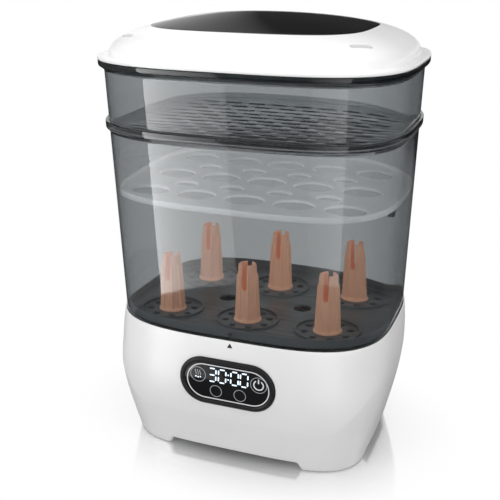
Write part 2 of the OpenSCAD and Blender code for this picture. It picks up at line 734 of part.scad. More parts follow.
// ---------- rack and posts ----------
rack_z = deck_top + seat_gap + rack_leg_h;
rack_top = rack_z + rack_t;
rack_gap = 1.2;
rack_grow = -wall_t - rack_gap;
post_hole_r = 6;
rack_hw = wall_hw(rack_z) + rack_grow;
rack_hd = wall_hd(rack_z) + rack_grow;
rack_legs = [for (sx = [-1, 1], sy = [-1, 1]) [sx * (rack_hw - 28), sy * (rack_hd - 34)],
    for (sy = [-1, 1]) [0, sy * (rack_hd - 12)]];
post_pitch = rack_hw - ring_side - ring_r;
post_front = ring_front + ring_r - rack_hd;
post_rear = rack_hd - ring_rear - ring_r;
post_spots = [for (y = [post_front, post_rear], i = [-1:1]) [i * post_pitch, y]];

module bottle_rack() {
    color("#515455") union() {
        plan_plate(rack_z, rack_t, rack_grow) {
            for (q = post_spots) translate(q) {
                circle(r = post_hole_r + 0.15, $fn = 32);
                for (a = [0:45:315]) rotate(a + 22.5) translate([21, 0]) circle(r = 3.5, $fn = 16);
            }
            for (i = [-1, 1]) translate([i * post_pitch / 2, (post_front + post_rear) / 2])
                circle(r = 9, $fn = 32);
        }
        plan_plate(rack_top - 0.5, rack_rim_h + 0.5, rack_grow)
            polygon(outline(wall_hw(rack_top) + rack_grow - 2, wall_hd(rack_top) + rack_grow - 2));
        for (q = post_spots) translate([q.x, q.y, rack_top - 0.5]) difference() {
            cylinder(r = ring_r, h = 2.5, $fn = 64);
            translate([0, 0, -EPS]) cylinder(r = ring_r - 1.4, h = 5, $fn = 64);
        }
        for (q = rack_legs) translate([q.x, q.y, deck_top + seat_gap]) cylinder(r = 4, h = rack_leg_h + 1);
    }
}

// One bottle post: a flared foot, a ribbed taper and a notched open top
module bottle_post(i) {
    q = post_spots[i];
    foot_h = 5;
    flare = 3.6;
    tip_r = post_r - 2.6;
    ribs = 8;
    rib_w = 1.6;
    rib_h = post_h - 10;
    lean = atan2(post_r - tip_r, post_h - foot_h);
    notch = 5;
    notch_depth = 24;
    color("#d9a48c") translate([q.x, q.y, rack_top]) difference() {
        union() {
            rotate_extrude() polygon([[0, -rack_t - 1], [post_hole_r, -rack_t - 1], [post_hole_r, 0],
                [post_r + flare, 0], [post_r, foot_h], [tip_r, post_h], [0, post_h]]);
            for (k = [0:ribs - 1]) rotate(360 * (k + 0.5) / ribs) translate([post_r, 0, 2])
                rotate([0, -lean, 0]) translate([-3, -rib_w / 2, 0]) cube([4.2, rib_w, rib_h]);
        }
        translate([0, 0, 14]) cylinder(r1 = 6.5, r2 = 5.6, h = post_h);
        translate([0, 20, post_h - notch_depth + notch / 2]) rotate([90, 0, 0]) linear_extrude(40) {
            circle(d = notch);
            translate([-notch / 2, 0]) square([notch, notch_depth + EPS]);
        }
    }
}

// ---------- clear tiers ----------
shelf_seat = base_h + shelf_z;
shelf_t = 2.5;
support_w = 8;
support_y = 40;

module lower_chamber() {
    support_in = 5;
    color([0.35, 0.38, 0.39, 0.45]) union() {
        skin(concat(
            [for (z = [chamber_foot, band_seat - 3.5]) wall_ring(z, 0)],
            [wall_ring(band_seat, band_clear + wall_t), wall_ring(band_top - 0.8, band_clear + wall_t),
             wall_ring(band_top, band_clear + wall_t - 0.8), wall_ring(band_top, band_clear),
             wall_ring(band_seat, band_clear), wall_ring(band_seat, -wall_t),
             wall_ring(chamber_foot, -wall_t)]));
        for (sx = [-1, 1], sy = [-1, 1]) {
            z = shelf_seat - seat_gap - 4;
            edge = outline_r(wall_hw(z), wall_hd(z), squareness, atan2(support_y, wall_hw(z)))
                * cos(atan2(support_y, wall_hw(z))) - wall_t;
            translate([sx * (edge - support_in / 2 + 0.6), sy * support_y, z + 2])
                cube([support_in, support_w, 4], center = true);
        }
    }
}

module oval(w, h) polygon([for (i = [0:27]) [w / 2 * cos(360 * i / 28), h / 2 * sin(360 * i / 28)]]);

module accessory_shelf() {
    shelf_grow = -wall_t - 1;
    rim_t = 1.8;
    color([0.8, 0.82, 0.83, 0.6]) union() {
        plan_plate(shelf_seat, shelf_t, shelf_grow) {
            for (i = [-2:2], j = [-1:1]) translate([i * 47, j * 58]) oval(38, 28);
            for (i = [-1.5:1:1.5], j = [-0.5, 0.5]) translate([i * 47, j * 58]) oval(24, 16);
        }
        plan_plate(shelf_seat + shelf_t - 0.5, 3.5, shelf_grow)
            polygon(outline(wall_hw(shelf_seat) + shelf_grow - rim_t,
                wall_hd(shelf_seat) + shelf_grow - rim_t));
    }
}

floor_z = tier_foot + 1.2;
floor_t = 2.2;
slot_pitch = slot_l + 7;
row_pitch = 15;

module upper_tier() {
    rows = 5;
    columns = 4;
    rim_foot = tier_top - rim_h;
    color([0.35, 0.38, 0.39, 0.45]) union() {
        skin(concat(
            [wall_ring(tier_foot, 0), wall_ring(rim_foot - 3.5, 0), wall_ring(rim_foot, rim_out - 0.4),
             wall_ring(rim_foot + 1, rim_out)],
            [lifted(outline(rim_hw, rim_hd), tier_top - 0.6),
             lifted(outline(rim_hw - 0.6, rim_hd - 0.6), tier_top),
             wall_ring(tier_top, -wall_t), wall_ring(tier_foot, -wall_t)]));
        plan_plate(floor_z, floor_t, -wall_t / 2)
            for (j = [-rows:rows], i = [-columns:columns - abs(j % 2)])
                translate([(i + abs(j % 2) / 2) * slot_pitch, j * row_pitch]) stadium(slot_l, slot_w);
    }
}

// ---------- lid ----------
rim_hw = wall_hw(tier_top) + rim_out;
rim_hd = wall_hd(tier_top) + rim_out;
skirt_gap = 0.9;
skirt_t = 2.3;
skirt_in = rim_out + wall_t + skirt_gap;
skirt_h = 9;
groove = 1;
groove_z = lid_z - skirt_h + 2.6;
groove_h = 2.8;
liner_t = 2.2;
liner_z = lid_z + 0.2 - liner_t;
recess = 0.2;
// The dome is drawn by one angle t, 0 at its foot and 90 at its crown. The plan stays square
// almost to the crown, where it softens to an ellipse
dome_bulge = 1.06;
dome_climb = 0.89;
crown_soft = 1.4;
crown_late = 9;
function rise(t) = pow(sin(t), dome_climb);
function dome_scale(t) = pow(cos(t), dome_bulge);
function dome_ring(t, inset, drop) = lifted(outline(dome_hw * dome_scale(t) - inset,
    dome_hd * dome_scale(t) - inset, squareness - crown_soft * pow(rise(t), crown_late)),
    dome_foot + dome_h * rise(t) - drop);
function rim_ring(inset, z) = lifted(outline(rim_hw - inset, rim_hd - inset), z);
dome_hw = rim_hw - dome_in;
dome_hd = rim_hd - dome_in;
insert_t0 = acos(pow(insert_w / 2 / dome_hw, 1 / dome_bulge));
// Steps round the dome, outside and inside the insert's edge
dome_low = [0, 4, 10, 18, 26, 34];
function dome_high(k) = insert_t0 + (86.5 - insert_t0) * k;
dome_high_steps = [0.12, 0.3, 0.5, 0.7, 0.86, 1];

vent_x = dome_hw - 29.9;
vent_y = 34.8 - dome_hd;
vent_turn = 39;
// Share of the dome's height that the vents' sleeves reach
vent_top = 0.4;
module at_vents() for (side = [-1, 1]) translate([side * vent_x, vent_y]) rotate(side * vent_turn) children();

module lid_shell() {
    floor_drop = insert_t + recess;
    color("#f5f5f5") difference() {
        skin(concat(
            [for (k = [5:-1:0]) dome_ring(dome_high(dome_high_steps[k]), lid_t / 2, floor_drop + lid_t)],
            [dome_ring(insert_t0, lid_t, floor_drop + lid_t)],
            [for (k = [5:-1:1]) dome_ring(dome_low[k], lid_t, k > 3 ? lid_t : lid_t * 0.6)],
            [dome_ring(0, lid_t, lid_t), dome_ring(0, lid_t, dome_foot - lid_z - 0.2)],
            [rim_ring(skirt_in + skirt_t, lid_z + 0.2), rim_ring(skirt_in + skirt_t, lid_z - skirt_h),
             rim_ring(skirt_in, lid_z - skirt_h), rim_ring(skirt_in, groove_z),
             rim_ring(skirt_in + groove, groove_z), rim_ring(skirt_in + groove, groove_z + groove_h),
             rim_ring(skirt_in, groove_z + groove_h), rim_ring(skirt_in, lid_z),
             rim_ring(0.5, lid_z), rim_ring(0, lid_z + 0.6), rim_ring(0, lid_z + 1.7),
             rim_ring(0.8, lid_z + 2.6), rim_ring(5.6, lid_z + 2.4), rim_ring(8.2, lid_z + 2.9)],
            [for (t = dome_low) dome_ring(t, 0, 0)],
            [dome_ring(insert_t0, 0, 0), dome_ring(insert_t0, 0, floor_drop)],
            [for (k = dome_high_steps) dome_ring(dome_high(k), 0, floor_drop)]), capped = true);
        translate([0, 0, lid_z + 4]) linear_extrude(60) at_vents() stadium(vent_l, vent_w);
    }
}

module lid_insert() {
    edge = 0.3;
    color("#1d1d1e") skin(concat(
        [for (k = [5:-1:0]) dome_ring(dome_high(dome_high_steps[k]), edge, insert_t)],
        [dome_ring(insert_t0, edge, insert_t), dome_ring(insert_t0, edge, 0.5),
         dome_ring(insert_t0, edge + 0.6, 0)],
        [for (k = dome_high_steps) dome_ring(dome_high(k), edge, 0)]), capped = true);
}

module lid_liner() {
    inset = skirt_in + skirt_t + 0.25;
    color("#e4e6e6") difference() {
        translate([0, 0, liner_z]) linear_extrude(liner_t) polygon(outline(rim_hw - inset, rim_hd - inset));
        translate([0, 0, liner_z - EPS]) linear_extrude(liner_t + 2 * EPS)
            for (i = [-4:4], side = [-1, 1]) translate([i * 22, side * 60]) stadium(14, 3);
    }
}

module lid_gasket() {
    proud = skirt_gap - 0.3;
    color("#a3a6a8") skin([
        rim_ring(skirt_in + groove - 0.05, groove_z + 0.1), rim_ring(skirt_in, groove_z + 0.1),
        rim_ring(skirt_in - proud * 0.6, groove_z + groove_h / 2 - 0.3),
        rim_ring(skirt_in - proud * 0.6, groove_z + groove_h / 2 + 0.3),
        rim_ring(skirt_in, groove_z + groove_h - 0.1),
        rim_ring(skirt_in + groove - 0.05, groove_z + groove_h - 0.1)]);
}

module steam_vents() {
    top = dome_foot + dome_h * vent_top;
    color("#2c2c2d") translate([0, 0, top - 6]) linear_extrude(6) at_vents() difference() {
        stadium(vent_l - 0.2, vent_w - 0.2);
        stadium(vent_l - 2.4, vent_w - 2.4);
    }
}

base_housing();
bottom_cover();
rubber_feet();
bottom_screws();
top_deck();
deck_screws();
chamber_gasket();
heating_plate();
plate_gasket();
heating_element();
element_bracket();
thermostat();
control_bezel();
touch_glass();
display_module();
control_board();
board_screws();
power_board();
fan_housing();
fan_cover();
fan_motor();
fan_shaft();
fan_impeller();
fan_screws();
air_duct();
air_heater();
air_outlet_cap();
filter_cover();
filter_tray();
air_filter();
cord_gland();
gland_nut();
bottle_rack();
bottle_post(0);  // bottle_post_1
bottle_post(1);  // bottle_post_2
bottle_post(2);  // bottle_post_3
bottle_post(3);  // bottle_post_4
bottle_post(4);  // bottle_post_5
bottle_post(5);  // bottle_post_6
lower_chamber();
accessory_shelf();
upper_tier();
lid_shell();
lid_insert();
lid_liner();
lid_gasket();
steam_vents();
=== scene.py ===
# %% [markdown]
# # A bottle sterilizer: white base, smoked clear tiers, domed lid
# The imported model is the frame: it says how big every piece is and which body carries it.
# This lesson gives each piece its surface. The large moulded shells are rebuilt as fine, smooth
# meshes from the formulas that shaped them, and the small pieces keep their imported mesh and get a
# material of their own.

# %% Load the frame and keep its box
import math

import bmesh
import bpy
import numpy as np
from mathutils import Matrix, Vector


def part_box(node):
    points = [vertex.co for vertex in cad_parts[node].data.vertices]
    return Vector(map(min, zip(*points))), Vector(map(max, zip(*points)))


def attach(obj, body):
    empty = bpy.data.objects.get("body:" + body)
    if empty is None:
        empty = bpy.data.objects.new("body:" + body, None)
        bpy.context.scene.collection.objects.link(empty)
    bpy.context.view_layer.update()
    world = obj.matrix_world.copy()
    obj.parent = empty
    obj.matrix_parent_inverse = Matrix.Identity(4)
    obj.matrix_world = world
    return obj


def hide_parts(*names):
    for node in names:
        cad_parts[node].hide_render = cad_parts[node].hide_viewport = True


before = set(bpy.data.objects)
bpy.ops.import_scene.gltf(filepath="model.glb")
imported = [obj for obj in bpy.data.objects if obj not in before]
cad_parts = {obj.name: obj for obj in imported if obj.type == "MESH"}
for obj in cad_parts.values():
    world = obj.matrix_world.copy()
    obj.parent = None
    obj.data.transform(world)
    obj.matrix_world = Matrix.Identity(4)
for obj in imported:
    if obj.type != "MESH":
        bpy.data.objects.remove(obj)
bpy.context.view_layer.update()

# %% [markdown]
# ## The camera
# A product lens a little longer than normal, held about 0.9 m away and looking down on the front
# left corner, keeps the upright edges nearly parallel. The picture is shifted a little sideways
# and the camera isn't turned, so that upright lines stay upright.

# %% Camera
camera_data = bpy.data.cameras.new("product_lens")
camera_data.lens = 61.5
camera_data.sensor_width = 36
camera_data.shift_x = -0.0334
camera = bpy.data.objects.new("camera", camera_data)
camera.location = (0.2709, -0.7379, 0.4783)
looks_at = Vector((0, 0, 0.1807))
camera.rotation_euler = (looks_at - camera.location).to_track_quat("-Z", "Y").to_euler()
bpy.context.scene.collection.objects.link(camera)
bpy.context.scene.camera = camera
bpy.context.scene.view_settings.view_transform = "Standard"
print("camera", round((looks_at - camera.location).length, 3), "m from the object")

# %% [markdown]
# ## Sizes, in millimetres
# Moulds are drawn in millimetres, so the formulas below are too, and every mesh is scaled to
# metres as it is made. What the frame knows is read from it. What it can't say, such as the
# exponent of the plan outline, is named here once.

# %% Sizes read from the frame
MM = 0.001


def box_mm(node):
    low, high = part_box(node)
    return low / MM, high / MM


rim_low, rim_high = box_mm("upper_tier")
rim_hw, rim_hd, tier_foot, tier_top = rim_high.x, rim_high.y, rim_low.z, rim_high.z
chamber_foot, band_top = box_mm("lower_chamber")[0].z, box_mm("lower_chamber")[1].z
base_h = box_mm("base_housing")[1].z
deck_low = box_mm("top_deck")[0]
print("rim", round(2 * rim_hw, 1), "x", round(2 * rim_hd, 1), "mm, lip at", round(base_h, 1), "mm")

# %% Sizes of the plan outline and the clear wall
SQUARENESS = 3.4     # exponent of the plan outline
DRAFT = math.tan(math.radians(1.64))   # outward slope of the clear walls
WALL = 2.4           # thickness of the clear walls
RIM_OUT = 4.4        # flare of the upper rim
SEAT_GAP = 0.3       # gap under a piece that lifts off


def wall_hw(z):
    return rim_hw - RIM_OUT - (tier_top - z) * DRAFT


def wall_hd(z):
    return rim_hd - RIM_OUT - (tier_top - z) * DRAFT


def ease(t):
    t = np.clip(t, 0, 1)
    return t * t * (3 - 2 * t)


def outline_r(a, b, n, p):
    return (np.abs(np.cos(p) / a) ** n + np.abs(np.sin(p) / b) ** n) ** (-1 / n)


# %% [markdown]
# The plan of every shell is a superellipse, a curve between an ellipse and a rectangle. Points
# at equal angles would crowd the long sides and starve the corners, so the angles are chosen
# once, by distance walked and by how much the curve turns, and every shell shares them.

# %% Angles round the plan
def plan_angles(count):
    p = np.linspace(0, 2 * np.pi, 7201)
    r = outline_r(rim_hw, rim_hd, SQUARENESS, p)
    xy = np.stack([r * np.cos(p), r * np.sin(p)], 1)
    step = np.diff(xy, axis=0)
    heading = np.unwrap(np.arctan2(step[:, 1], step[:, 0]))
    length = np.linalg.norm(step, axis=1)
    turn = np.abs(np.diff(heading, append=heading[-1]))
    weight = length / length.sum() + 0.8 * turn / turn.sum()
    walked = np.concatenate([[0], np.cumsum(weight)])
    return np.interp(np.arange(count) / count * walked[-1], walked, p)


ANGLES = plan_angles(320)


def ring(a, b, z, n=SQUARENESS, y=0.0, p=ANGLES):
    r = outline_r(a, b, n, p)
    return np.stack([r * np.cos(p), r * np.sin(p) + y, z + 0 * p], 1)


def wall_ring(z, grow):
    return ring(wall_hw(z) + grow, wall_hd(z) + grow, z)


print(len(ANGLES), "points round each shell")

# %% [markdown]
# ## Making meshes
# Three ways cover the whole object. A shell is lofted through rings, which keeps its curve exact
# and its faces in even rows. A plate with many openings is drawn as a flat curve, because a filled
# curve finds its own holes and rounds their edges. An opening through a curved shell is cut with
# a Boolean. Each piece then shades smooth, with sharp edges only where the surface really turns.

# %% Helpers that make a mesh piece
SMOOTH_ANGLE = math.radians(32)


def finish_mesh(mesh, smooth_angle=SMOOTH_ANGLE):
    mesh.polygons.foreach_set("use_smooth", [True] * len(mesh.polygons))
    mesh.set_sharp_from_angle(angle=smooth_angle)
    mesh.update()


def new_piece(name, bm):
    bmesh.ops.recalc_face_normals(bm, faces=bm.faces)
    mesh = bpy.data.meshes.new(name)
    bm.to_mesh(mesh)
    bm.free()
    mesh.transform(Matrix.Scale(MM, 4))
    finish_mesh(mesh)
    piece = bpy.data.objects.new(name, mesh)
    bpy.context.scene.collection.objects.link(piece)
    return piece


def loft(name, rings, closed=True):
    """A skin through rings of equal length: a tube wall if closed, or else capped at both ends."""
    bm = bmesh.new()
    rows = [[bm.verts.new(point) for point in points] for points in rings]
    count = len(rows[0])
    for k in range(len(rows) if closed else len(rows) - 1):
        a, b = rows[k], rows[(k + 1) % len(rows)]
        for i in range(count):
            j = (i + 1) % count
            bm.faces.new((a[i], a[j], b[j], b[i]))
    if not closed:
        bm.faces.new(rows[0])
        bm.faces.new(rows[-1])
    return new_piece(name, bm)


def rounded(profile, steps=4):
    """A closed profile of (out, height, radius) points with its corners turned into arcs."""
    made = []
    for k, (x, z, radius) in enumerate(profile):
        here = Vector((x, z))
        before = (Vector(profile[k - 1][:2]) - here)
        after = (Vector(profile[(k + 1) % len(profile)][:2]) - here)
        half = before.angle(after) / 2
        reach = min(radius / math.tan(half), before.length * 0.48, after.length * 0.48)
        start, end = here + before.normalized() * reach, here + after.normalized() * reach
        for s in range(steps + 1):
            t = s / steps
            made.append(start * (1 - t) ** 2 + here * 2 * t * (1 - t) + end * t ** 2)
    return [(point.x, point.y) for point in made]


def apply_modifiers(piece):
    graph = bpy.context.evaluated_depsgraph_get()
    mesh = bpy.data.meshes.new_from_object(piece.evaluated_get(graph))
    piece.modifiers.clear()
    piece.data = mesh
    finish_mesh(mesh)


def cut(piece, *cutters):
    for cutter in cutters:
        boolean = piece.modifiers.new("cut", "BOOLEAN")
        boolean.object = cutter
        boolean.operation = "DIFFERENCE"
        boolean.solver = "EXACT"
    apply_modifiers(piece)
    for cutter in cutters:
        bpy.data.objects.remove(cutter)


def plate(name, loops, thickness, rounding=0.3, matrix=None):
    """A plate through z = 0 with openings, drawn as a filled curve. matrix puts it in place."""
    curve = bpy.data.curves.new(name, "CURVE")
    curve.dimensions = "2D"
    curve.fill_mode = "BOTH"
    curve.extrude = thickness / 2 - rounding
    curve.bevel_depth = rounding
    curve.bevel_resolution = 2
    curve.offset = -rounding
    for points in loops:
        spline = curve.splines.new("POLY")
        spline.points.add(len(points) - 1)
        spline.points.foreach_set("co", [c for q in points for c in (q[0], q[1], 0, 1)])
        spline.use_cyclic_u = True
    drawn = bpy.data.objects.new(name + "_curve", curve)
    bpy.context.scene.collection.objects.link(drawn)
    graph = bpy.context.evaluated_depsgraph_get()
    mesh = bpy.data.meshes.new_from_object(drawn.evaluated_get(graph))
    bpy.data.objects.remove(drawn)
    bm = bmesh.new()
    bm.from_mesh(mesh)
    bmesh.ops.remove_doubles(bm, verts=bm.verts, dist=0.001)
    bmesh.ops.transform(bm, matrix=matrix or Matrix(), verts=bm.verts)
    return new_piece(name, bm)


# Where each plate lies: flat at a height, or upright behind a front face
def level(z):
    return Matrix.Translation((0, 0, z))


def upright(y, z, x=0.0):
    return Matrix.Translation((x, y, z)) @ Matrix.Rotation(math.radians(90), 4, "X")


# %% Flat outlines for plates and cutters
def circle(r, x=0.0, y=0.0, count=48):
    a = np.arange(count) * 2 * np.pi / count
    return [(x + r * math.cos(t), y + r * math.sin(t)) for t in a]


def oval(w, h, x=0.0, y=0.0, count=56):
    a = np.arange(count) * 2 * np.pi / count
    return [(x + w / 2 * math.cos(t), y + h / 2 * math.sin(t)) for t in a]


def stadium(w, h, x=0.0, y=0.0, arc=24):
    ends = []
    for side, first in ((1, -90), (-1, 90)):
        for k in range(arc + 1):
            t = math.radians(first + 180 * k / arc)
            ends.append((x + side * (w - h) / 2 + h / 2 * math.cos(t), y + h / 2 * math.sin(t)))
    return ends


def flat_outline(a, b):
    return [tuple(point[:2]) for point in ring(a, b, 0)]


def prism(name, points, depth, matrix):
    return plate(name, [points], depth, 0.0, matrix)


# %% A piece gets its finish, goes on its body and stands for its nodes
def paint(piece, material):
    piece.data.materials.clear()
    piece.data.materials.append(material)


def settle(piece, material, body, slot, *nodes):
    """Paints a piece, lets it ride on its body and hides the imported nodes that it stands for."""
    paint(piece, material)
    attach(piece, body)
    if nodes:
        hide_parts(*nodes)
    print(piece.name, len(piece.data.polygons), "faces on", body)
    return piece


# %% [markdown]
# ## Materials: the parts list of nodes
# Every material is a small tree of nodes. One helper adds a node, sets what is fixed and links
# what isn't. Colours are written as the eye reads them, in sRGB hex, and turned to the linear
# values that light needs.

# %% Colour and node helpers
def srgb(code):
    channels = [int(code[i:i + 2], 16) / 255 for i in (1, 3, 5)]
    linear = [c / 12.92 if c <= 0.04045 else ((c + 0.055) / 1.055) ** 2.4 for c in channels]
    return (*linear, 1.0)


def add(tree, kind, inputs=None, **settings):
    """Adds a node. An input is a plain value, or another node's output to link."""
    node = tree.nodes.new(kind)
    for key, value in settings.items():
        setattr(node, key, value)
    for key, value in (inputs or {}).items():
        if isinstance(value, bpy.types.NodeSocket):
            tree.links.new(value, node.inputs[key])
        else:
            node.inputs[key].default_value = value
    return node


def new_tree(name):
    material = bpy.data.materials.new(name)
    material.use_nodes = True
    material.node_tree.nodes.clear()
    return material, material.node_tree


def per_metre(size_mm):
    """Noise scale for a pattern whose marks are size_mm apart."""
    return 1 / (size_mm * MM)


# %% [markdown]
# ### Moulded plastic
# ABS and polypropylene leave the mould with the mould's own skin. A polished mould gives a gloss
# with a slow orange-peel wave some millimetres long, and an etched one gives a fine matt grain.
# Handling leaves a faint unevenness in the gloss. The grain is about 0.1 mm on the real part,
# too fine to show, so it is drawn at about half a millimetre.

# %% Moulded plastic
def moulded_plastic(name, colour, roughness, wave_mm=14.0, wave_depth=0.02, grain_mm=0.6,
                    grain_depth=0.004, spread=0.06, tone=0.03, ior=1.5, painted_glow=0.0):
    """The last argument is painted light: an even glow in the plastic's own colour, standing in for the
    light that a translucent plastic carries in from its lit side.
    """
    material, tree = new_tree(name)
    place = add(tree, "ShaderNodeTexCoord").outputs["Object"]
    smudge = add(tree, "ShaderNodeTexNoise", {"Vector": place, "Scale": per_metre(35), "Detail": 3.0})
    rough = add(tree, "ShaderNodeMapRange", {"Value": smudge.outputs["Fac"], "From Min": 0.3,
                "From Max": 0.7, "To Min": roughness - spread / 2, "To Max": roughness + spread / 2})
    cloud = add(tree, "ShaderNodeTexNoise", {"Vector": place, "Scale": per_metre(60), "Detail": 2.0})
    shade = add(tree, "ShaderNodeMapRange", {"Value": cloud.outputs["Fac"], "From Min": 0.3,
                "From Max": 0.7, "To Min": 1 - tone, "To Max": 1.0})
    tint = add(tree, "ShaderNodeMix", {"Factor": 1.0, 6: srgb(colour), 7: shade.outputs["Result"]},
               data_type="RGBA", blend_type="MULTIPLY")
    wave = add(tree, "ShaderNodeTexNoise", {"Vector": place, "Scale": per_metre(wave_mm), "Detail": 1.0})
    grain = add(tree, "ShaderNodeTexNoise", {"Vector": place, "Scale": per_metre(grain_mm),
                "Detail": 2.0})
    slow = add(tree, "ShaderNodeBump", {"Height": wave.outputs["Fac"], "Distance": wave_depth * MM,
               "Strength": 1.0})
    fine = add(tree, "ShaderNodeBump", {"Height": grain.outputs["Fac"], "Distance": grain_depth * MM,
               "Strength": 1.0, "Normal": slow.outputs["Normal"]})
    shader = add(tree, "ShaderNodeBsdfPrincipled", {"Base Color": tint.outputs[2],
                 "Roughness": rough.outputs["Result"], "IOR": ior,
                 "Emission Color": srgb(colour), "Emission Strength": painted_glow,
                 "Normal": fine.outputs["Normal"]})
    add(tree, "ShaderNodeOutputMaterial", {"Surface": shader.outputs["BSDF"]})
    return material


# The white moulds are polished best, so their wave is long and shallow
white_abs = moulded_plastic("white_gloss_abs", "#efefef", 0.32, wave_mm=30, wave_depth=0.006, spread=0.02)
lid_abs = moulded_plastic("lid_white_abs", "#f8f8f8", 0.3, wave_mm=30, wave_depth=0.006, spread=0.02)
pale_pp = moulded_plastic("pale_grey_polypropylene", "#cbcdce", 0.5, grain_depth=0.012)
dark_pp = moulded_plastic("dark_grey_polypropylene", "#46494b", 0.45, grain_depth=0.012)
rack_pp = moulded_plastic("rack_grey_polypropylene", "#6a6e70", 0.35)
# The posts glow a little: painted light in their peach colour that brightens them inside the shaded
# chamber.
peach_pp = moulded_plastic("peach_polypropylene", "#f6bb9b", 0.36, tone=0.05, painted_glow=0.13)
black_abs = moulded_plastic("black_gloss_abs", "#1b1b1c", 0.1, wave_mm=20, wave_depth=0.012, tone=0.2,
                            grain_depth=0.0, spread=0.04)
bezel_abs = moulded_plastic("bezel_satin_abs", "#262627", 0.26, tone=0.1, ior=1.25)
phenolic = moulded_plastic("black_phenolic", "#262524", 0.55, grain_depth=0.02)
white_pp = moulded_plastic("impeller_polypropylene", "#e4e4e2", 0.45)
silicone = moulded_plastic("grey_silicone", "#94979a", 0.55, grain_depth=0.015, wave_depth=0.04)
rubber = moulded_plastic("foot_rubber", "#333333", 0.7, grain_mm=0.9, grain_depth=0.03, spread=0.1)
print("moulded finishes ready")

# %% [markdown]
# ### Smoked clear copolyester
# The tiers are clear plastic with a grey dye through it. The dye is in the bulk, so a thick rim
# looks darker than a thin wall: absorption in the volume says that, and a tinted surface
# wouldn't. Real plastic lets lamps light what is inside. A path tracer finds that light hard
# to follow through bent glass, so lamps pass straight through and only the eye sees it bend.

# %% Smoked clear plastic
def smoked_clear(name, colour, density, roughness=0.02, bump_depth=0.01, clearness=1.0,
                 painted_glow=0.0):
    """clearness is the share of light that passes. The last argument is painted light: an even white
    glow standing in for the light that the sheet carries in from its edges."""
    material, tree = new_tree(name)
    place = add(tree, "ShaderNodeTexCoord").outputs["Object"]
    wave = add(tree, "ShaderNodeTexNoise", {"Vector": place, "Scale": per_metre(30), "Detail": 1.0})
    bump = add(tree, "ShaderNodeBump", {"Height": wave.outputs["Fac"], "Distance": bump_depth * MM,
               "Strength": 1.0})
    haze = add(tree, "ShaderNodeTexNoise", {"Vector": place, "Scale": per_metre(45), "Detail": 4.0})
    rough = add(tree, "ShaderNodeMapRange", {"Value": haze.outputs["Fac"], "From Min": 0.35,
                "From Max": 0.75, "To Min": roughness, "To Max": roughness + 0.03})
    clear = add(tree, "ShaderNodeBsdfPrincipled", {"Base Color": (1, 1, 1, 1), "IOR": 1.5,
                "Roughness": rough.outputs["Result"], "Transmission Weight": clearness,
                "Emission Color": (1, 1, 1, 1), "Emission Strength": painted_glow,
                "Normal": bump.outputs["Normal"]})
    passes = add(tree, "ShaderNodeBsdfTransparent", {"Color": (1, 1, 1, 1)})
    rays = add(tree, "ShaderNodeLightPath")
    both = add(tree, "ShaderNodeMixShader", {0: rays.outputs["Is Shadow Ray"], 1: clear.outputs["BSDF"],
               2: passes.outputs["BSDF"]})
    dye = add(tree, "ShaderNodeVolumeAbsorption", {"Color": srgb(colour), "Density": density})
    add(tree, "ShaderNodeOutputMaterial", {"Surface": both.outputs["Shader"],
        "Volume": dye.outputs["Volume"]})
    return material


smoked = smoked_clear("smoked_copolyester", "#b1b6b8", 460)
# The shelf glows a little: painted light that keeps it pale inside the shaded chamber.
frosted = smoked_clear("frosted_polypropylene", "#f4f6f6", 60, roughness=0.3, clearness=0.5,
                       painted_glow=0.12)
print("clear finishes ready")

# %% [markdown]
# ### Metals, boards and fleece
# Steel that is pressed and brushed keeps fine lines along the brushing, cast aluminium keeps the
# sand's grain, and a circuit board shows tracks through its lacquer. They sit inside, where the
# light is low, so each has one clear mark of its making and no more.

# %% Metals
def metal(name, colour, roughness, stretch, mark_mm, depth):
    """stretch is how much longer the marks are along X than across: 1 for cast, 40 for brushed."""
    material, tree = new_tree(name)
    place = add(tree, "ShaderNodeTexCoord").outputs["Object"]
    drawn = add(tree, "ShaderNodeMapping", {"Vector": place, "Scale": (1 / stretch, 1, 1)})
    marks = add(tree, "ShaderNodeTexNoise", {"Vector": drawn.outputs["Vector"], "Detail": 4.0,
                "Scale": per_metre(mark_mm)})
    rough = add(tree, "ShaderNodeMapRange", {"Value": marks.outputs["Fac"], "To Min": roughness - 0.08,
                "To Max": roughness + 0.08})
    bump = add(tree, "ShaderNodeBump", {"Height": marks.outputs["Fac"], "Distance": depth * MM,
               "Strength": 1.0})
    shader = add(tree, "ShaderNodeBsdfPrincipled", {"Base Color": srgb(colour), "Metallic": 1.0,
                 "Roughness": rough.outputs["Result"], "Normal": bump.outputs["Normal"]})
    add(tree, "ShaderNodeOutputMaterial", {"Surface": shader.outputs["BSDF"]})
    return material


steel = metal("pressed_steel", "#cfcfcd", 0.24, 40, 0.8, 0.01)
plated = metal("plated_screw_steel", "#c4c4c0", 0.3, 1, 0.5, 0.01)
zinc = metal("zinc_plated_steel", "#b9bcbf", 0.36, 8, 1.2, 0.01)
cast = metal("cast_aluminium", "#a9a9a6", 0.5, 1, 0.7, 0.05)


# %% Circuit board and filter fleece
def circuit_board(name):
    material, tree = new_tree(name)
    place = add(tree, "ShaderNodeTexCoord").outputs["Object"]
    cells = add(tree, "ShaderNodeTexBrick", {"Vector": place, "Color1": srgb("#1f5a38"),
                "Color2": srgb("#2a6e47"), "Mortar": srgb("#4b8f63"), "Scale": per_metre(6),
                "Mortar Size": 0.06})
    height = add(tree, "ShaderNodeBump", {"Height": cells.outputs["Fac"], "Distance": 0.03 * MM,
                 "Strength": 1.0})
    shader = add(tree, "ShaderNodeBsdfPrincipled", {"Base Color": cells.outputs["Color"],
                 "Roughness": 0.35, "Normal": height.outputs["Normal"]})
    add(tree, "ShaderNodeOutputMaterial", {"Surface": shader.outputs["BSDF"]})
    return material


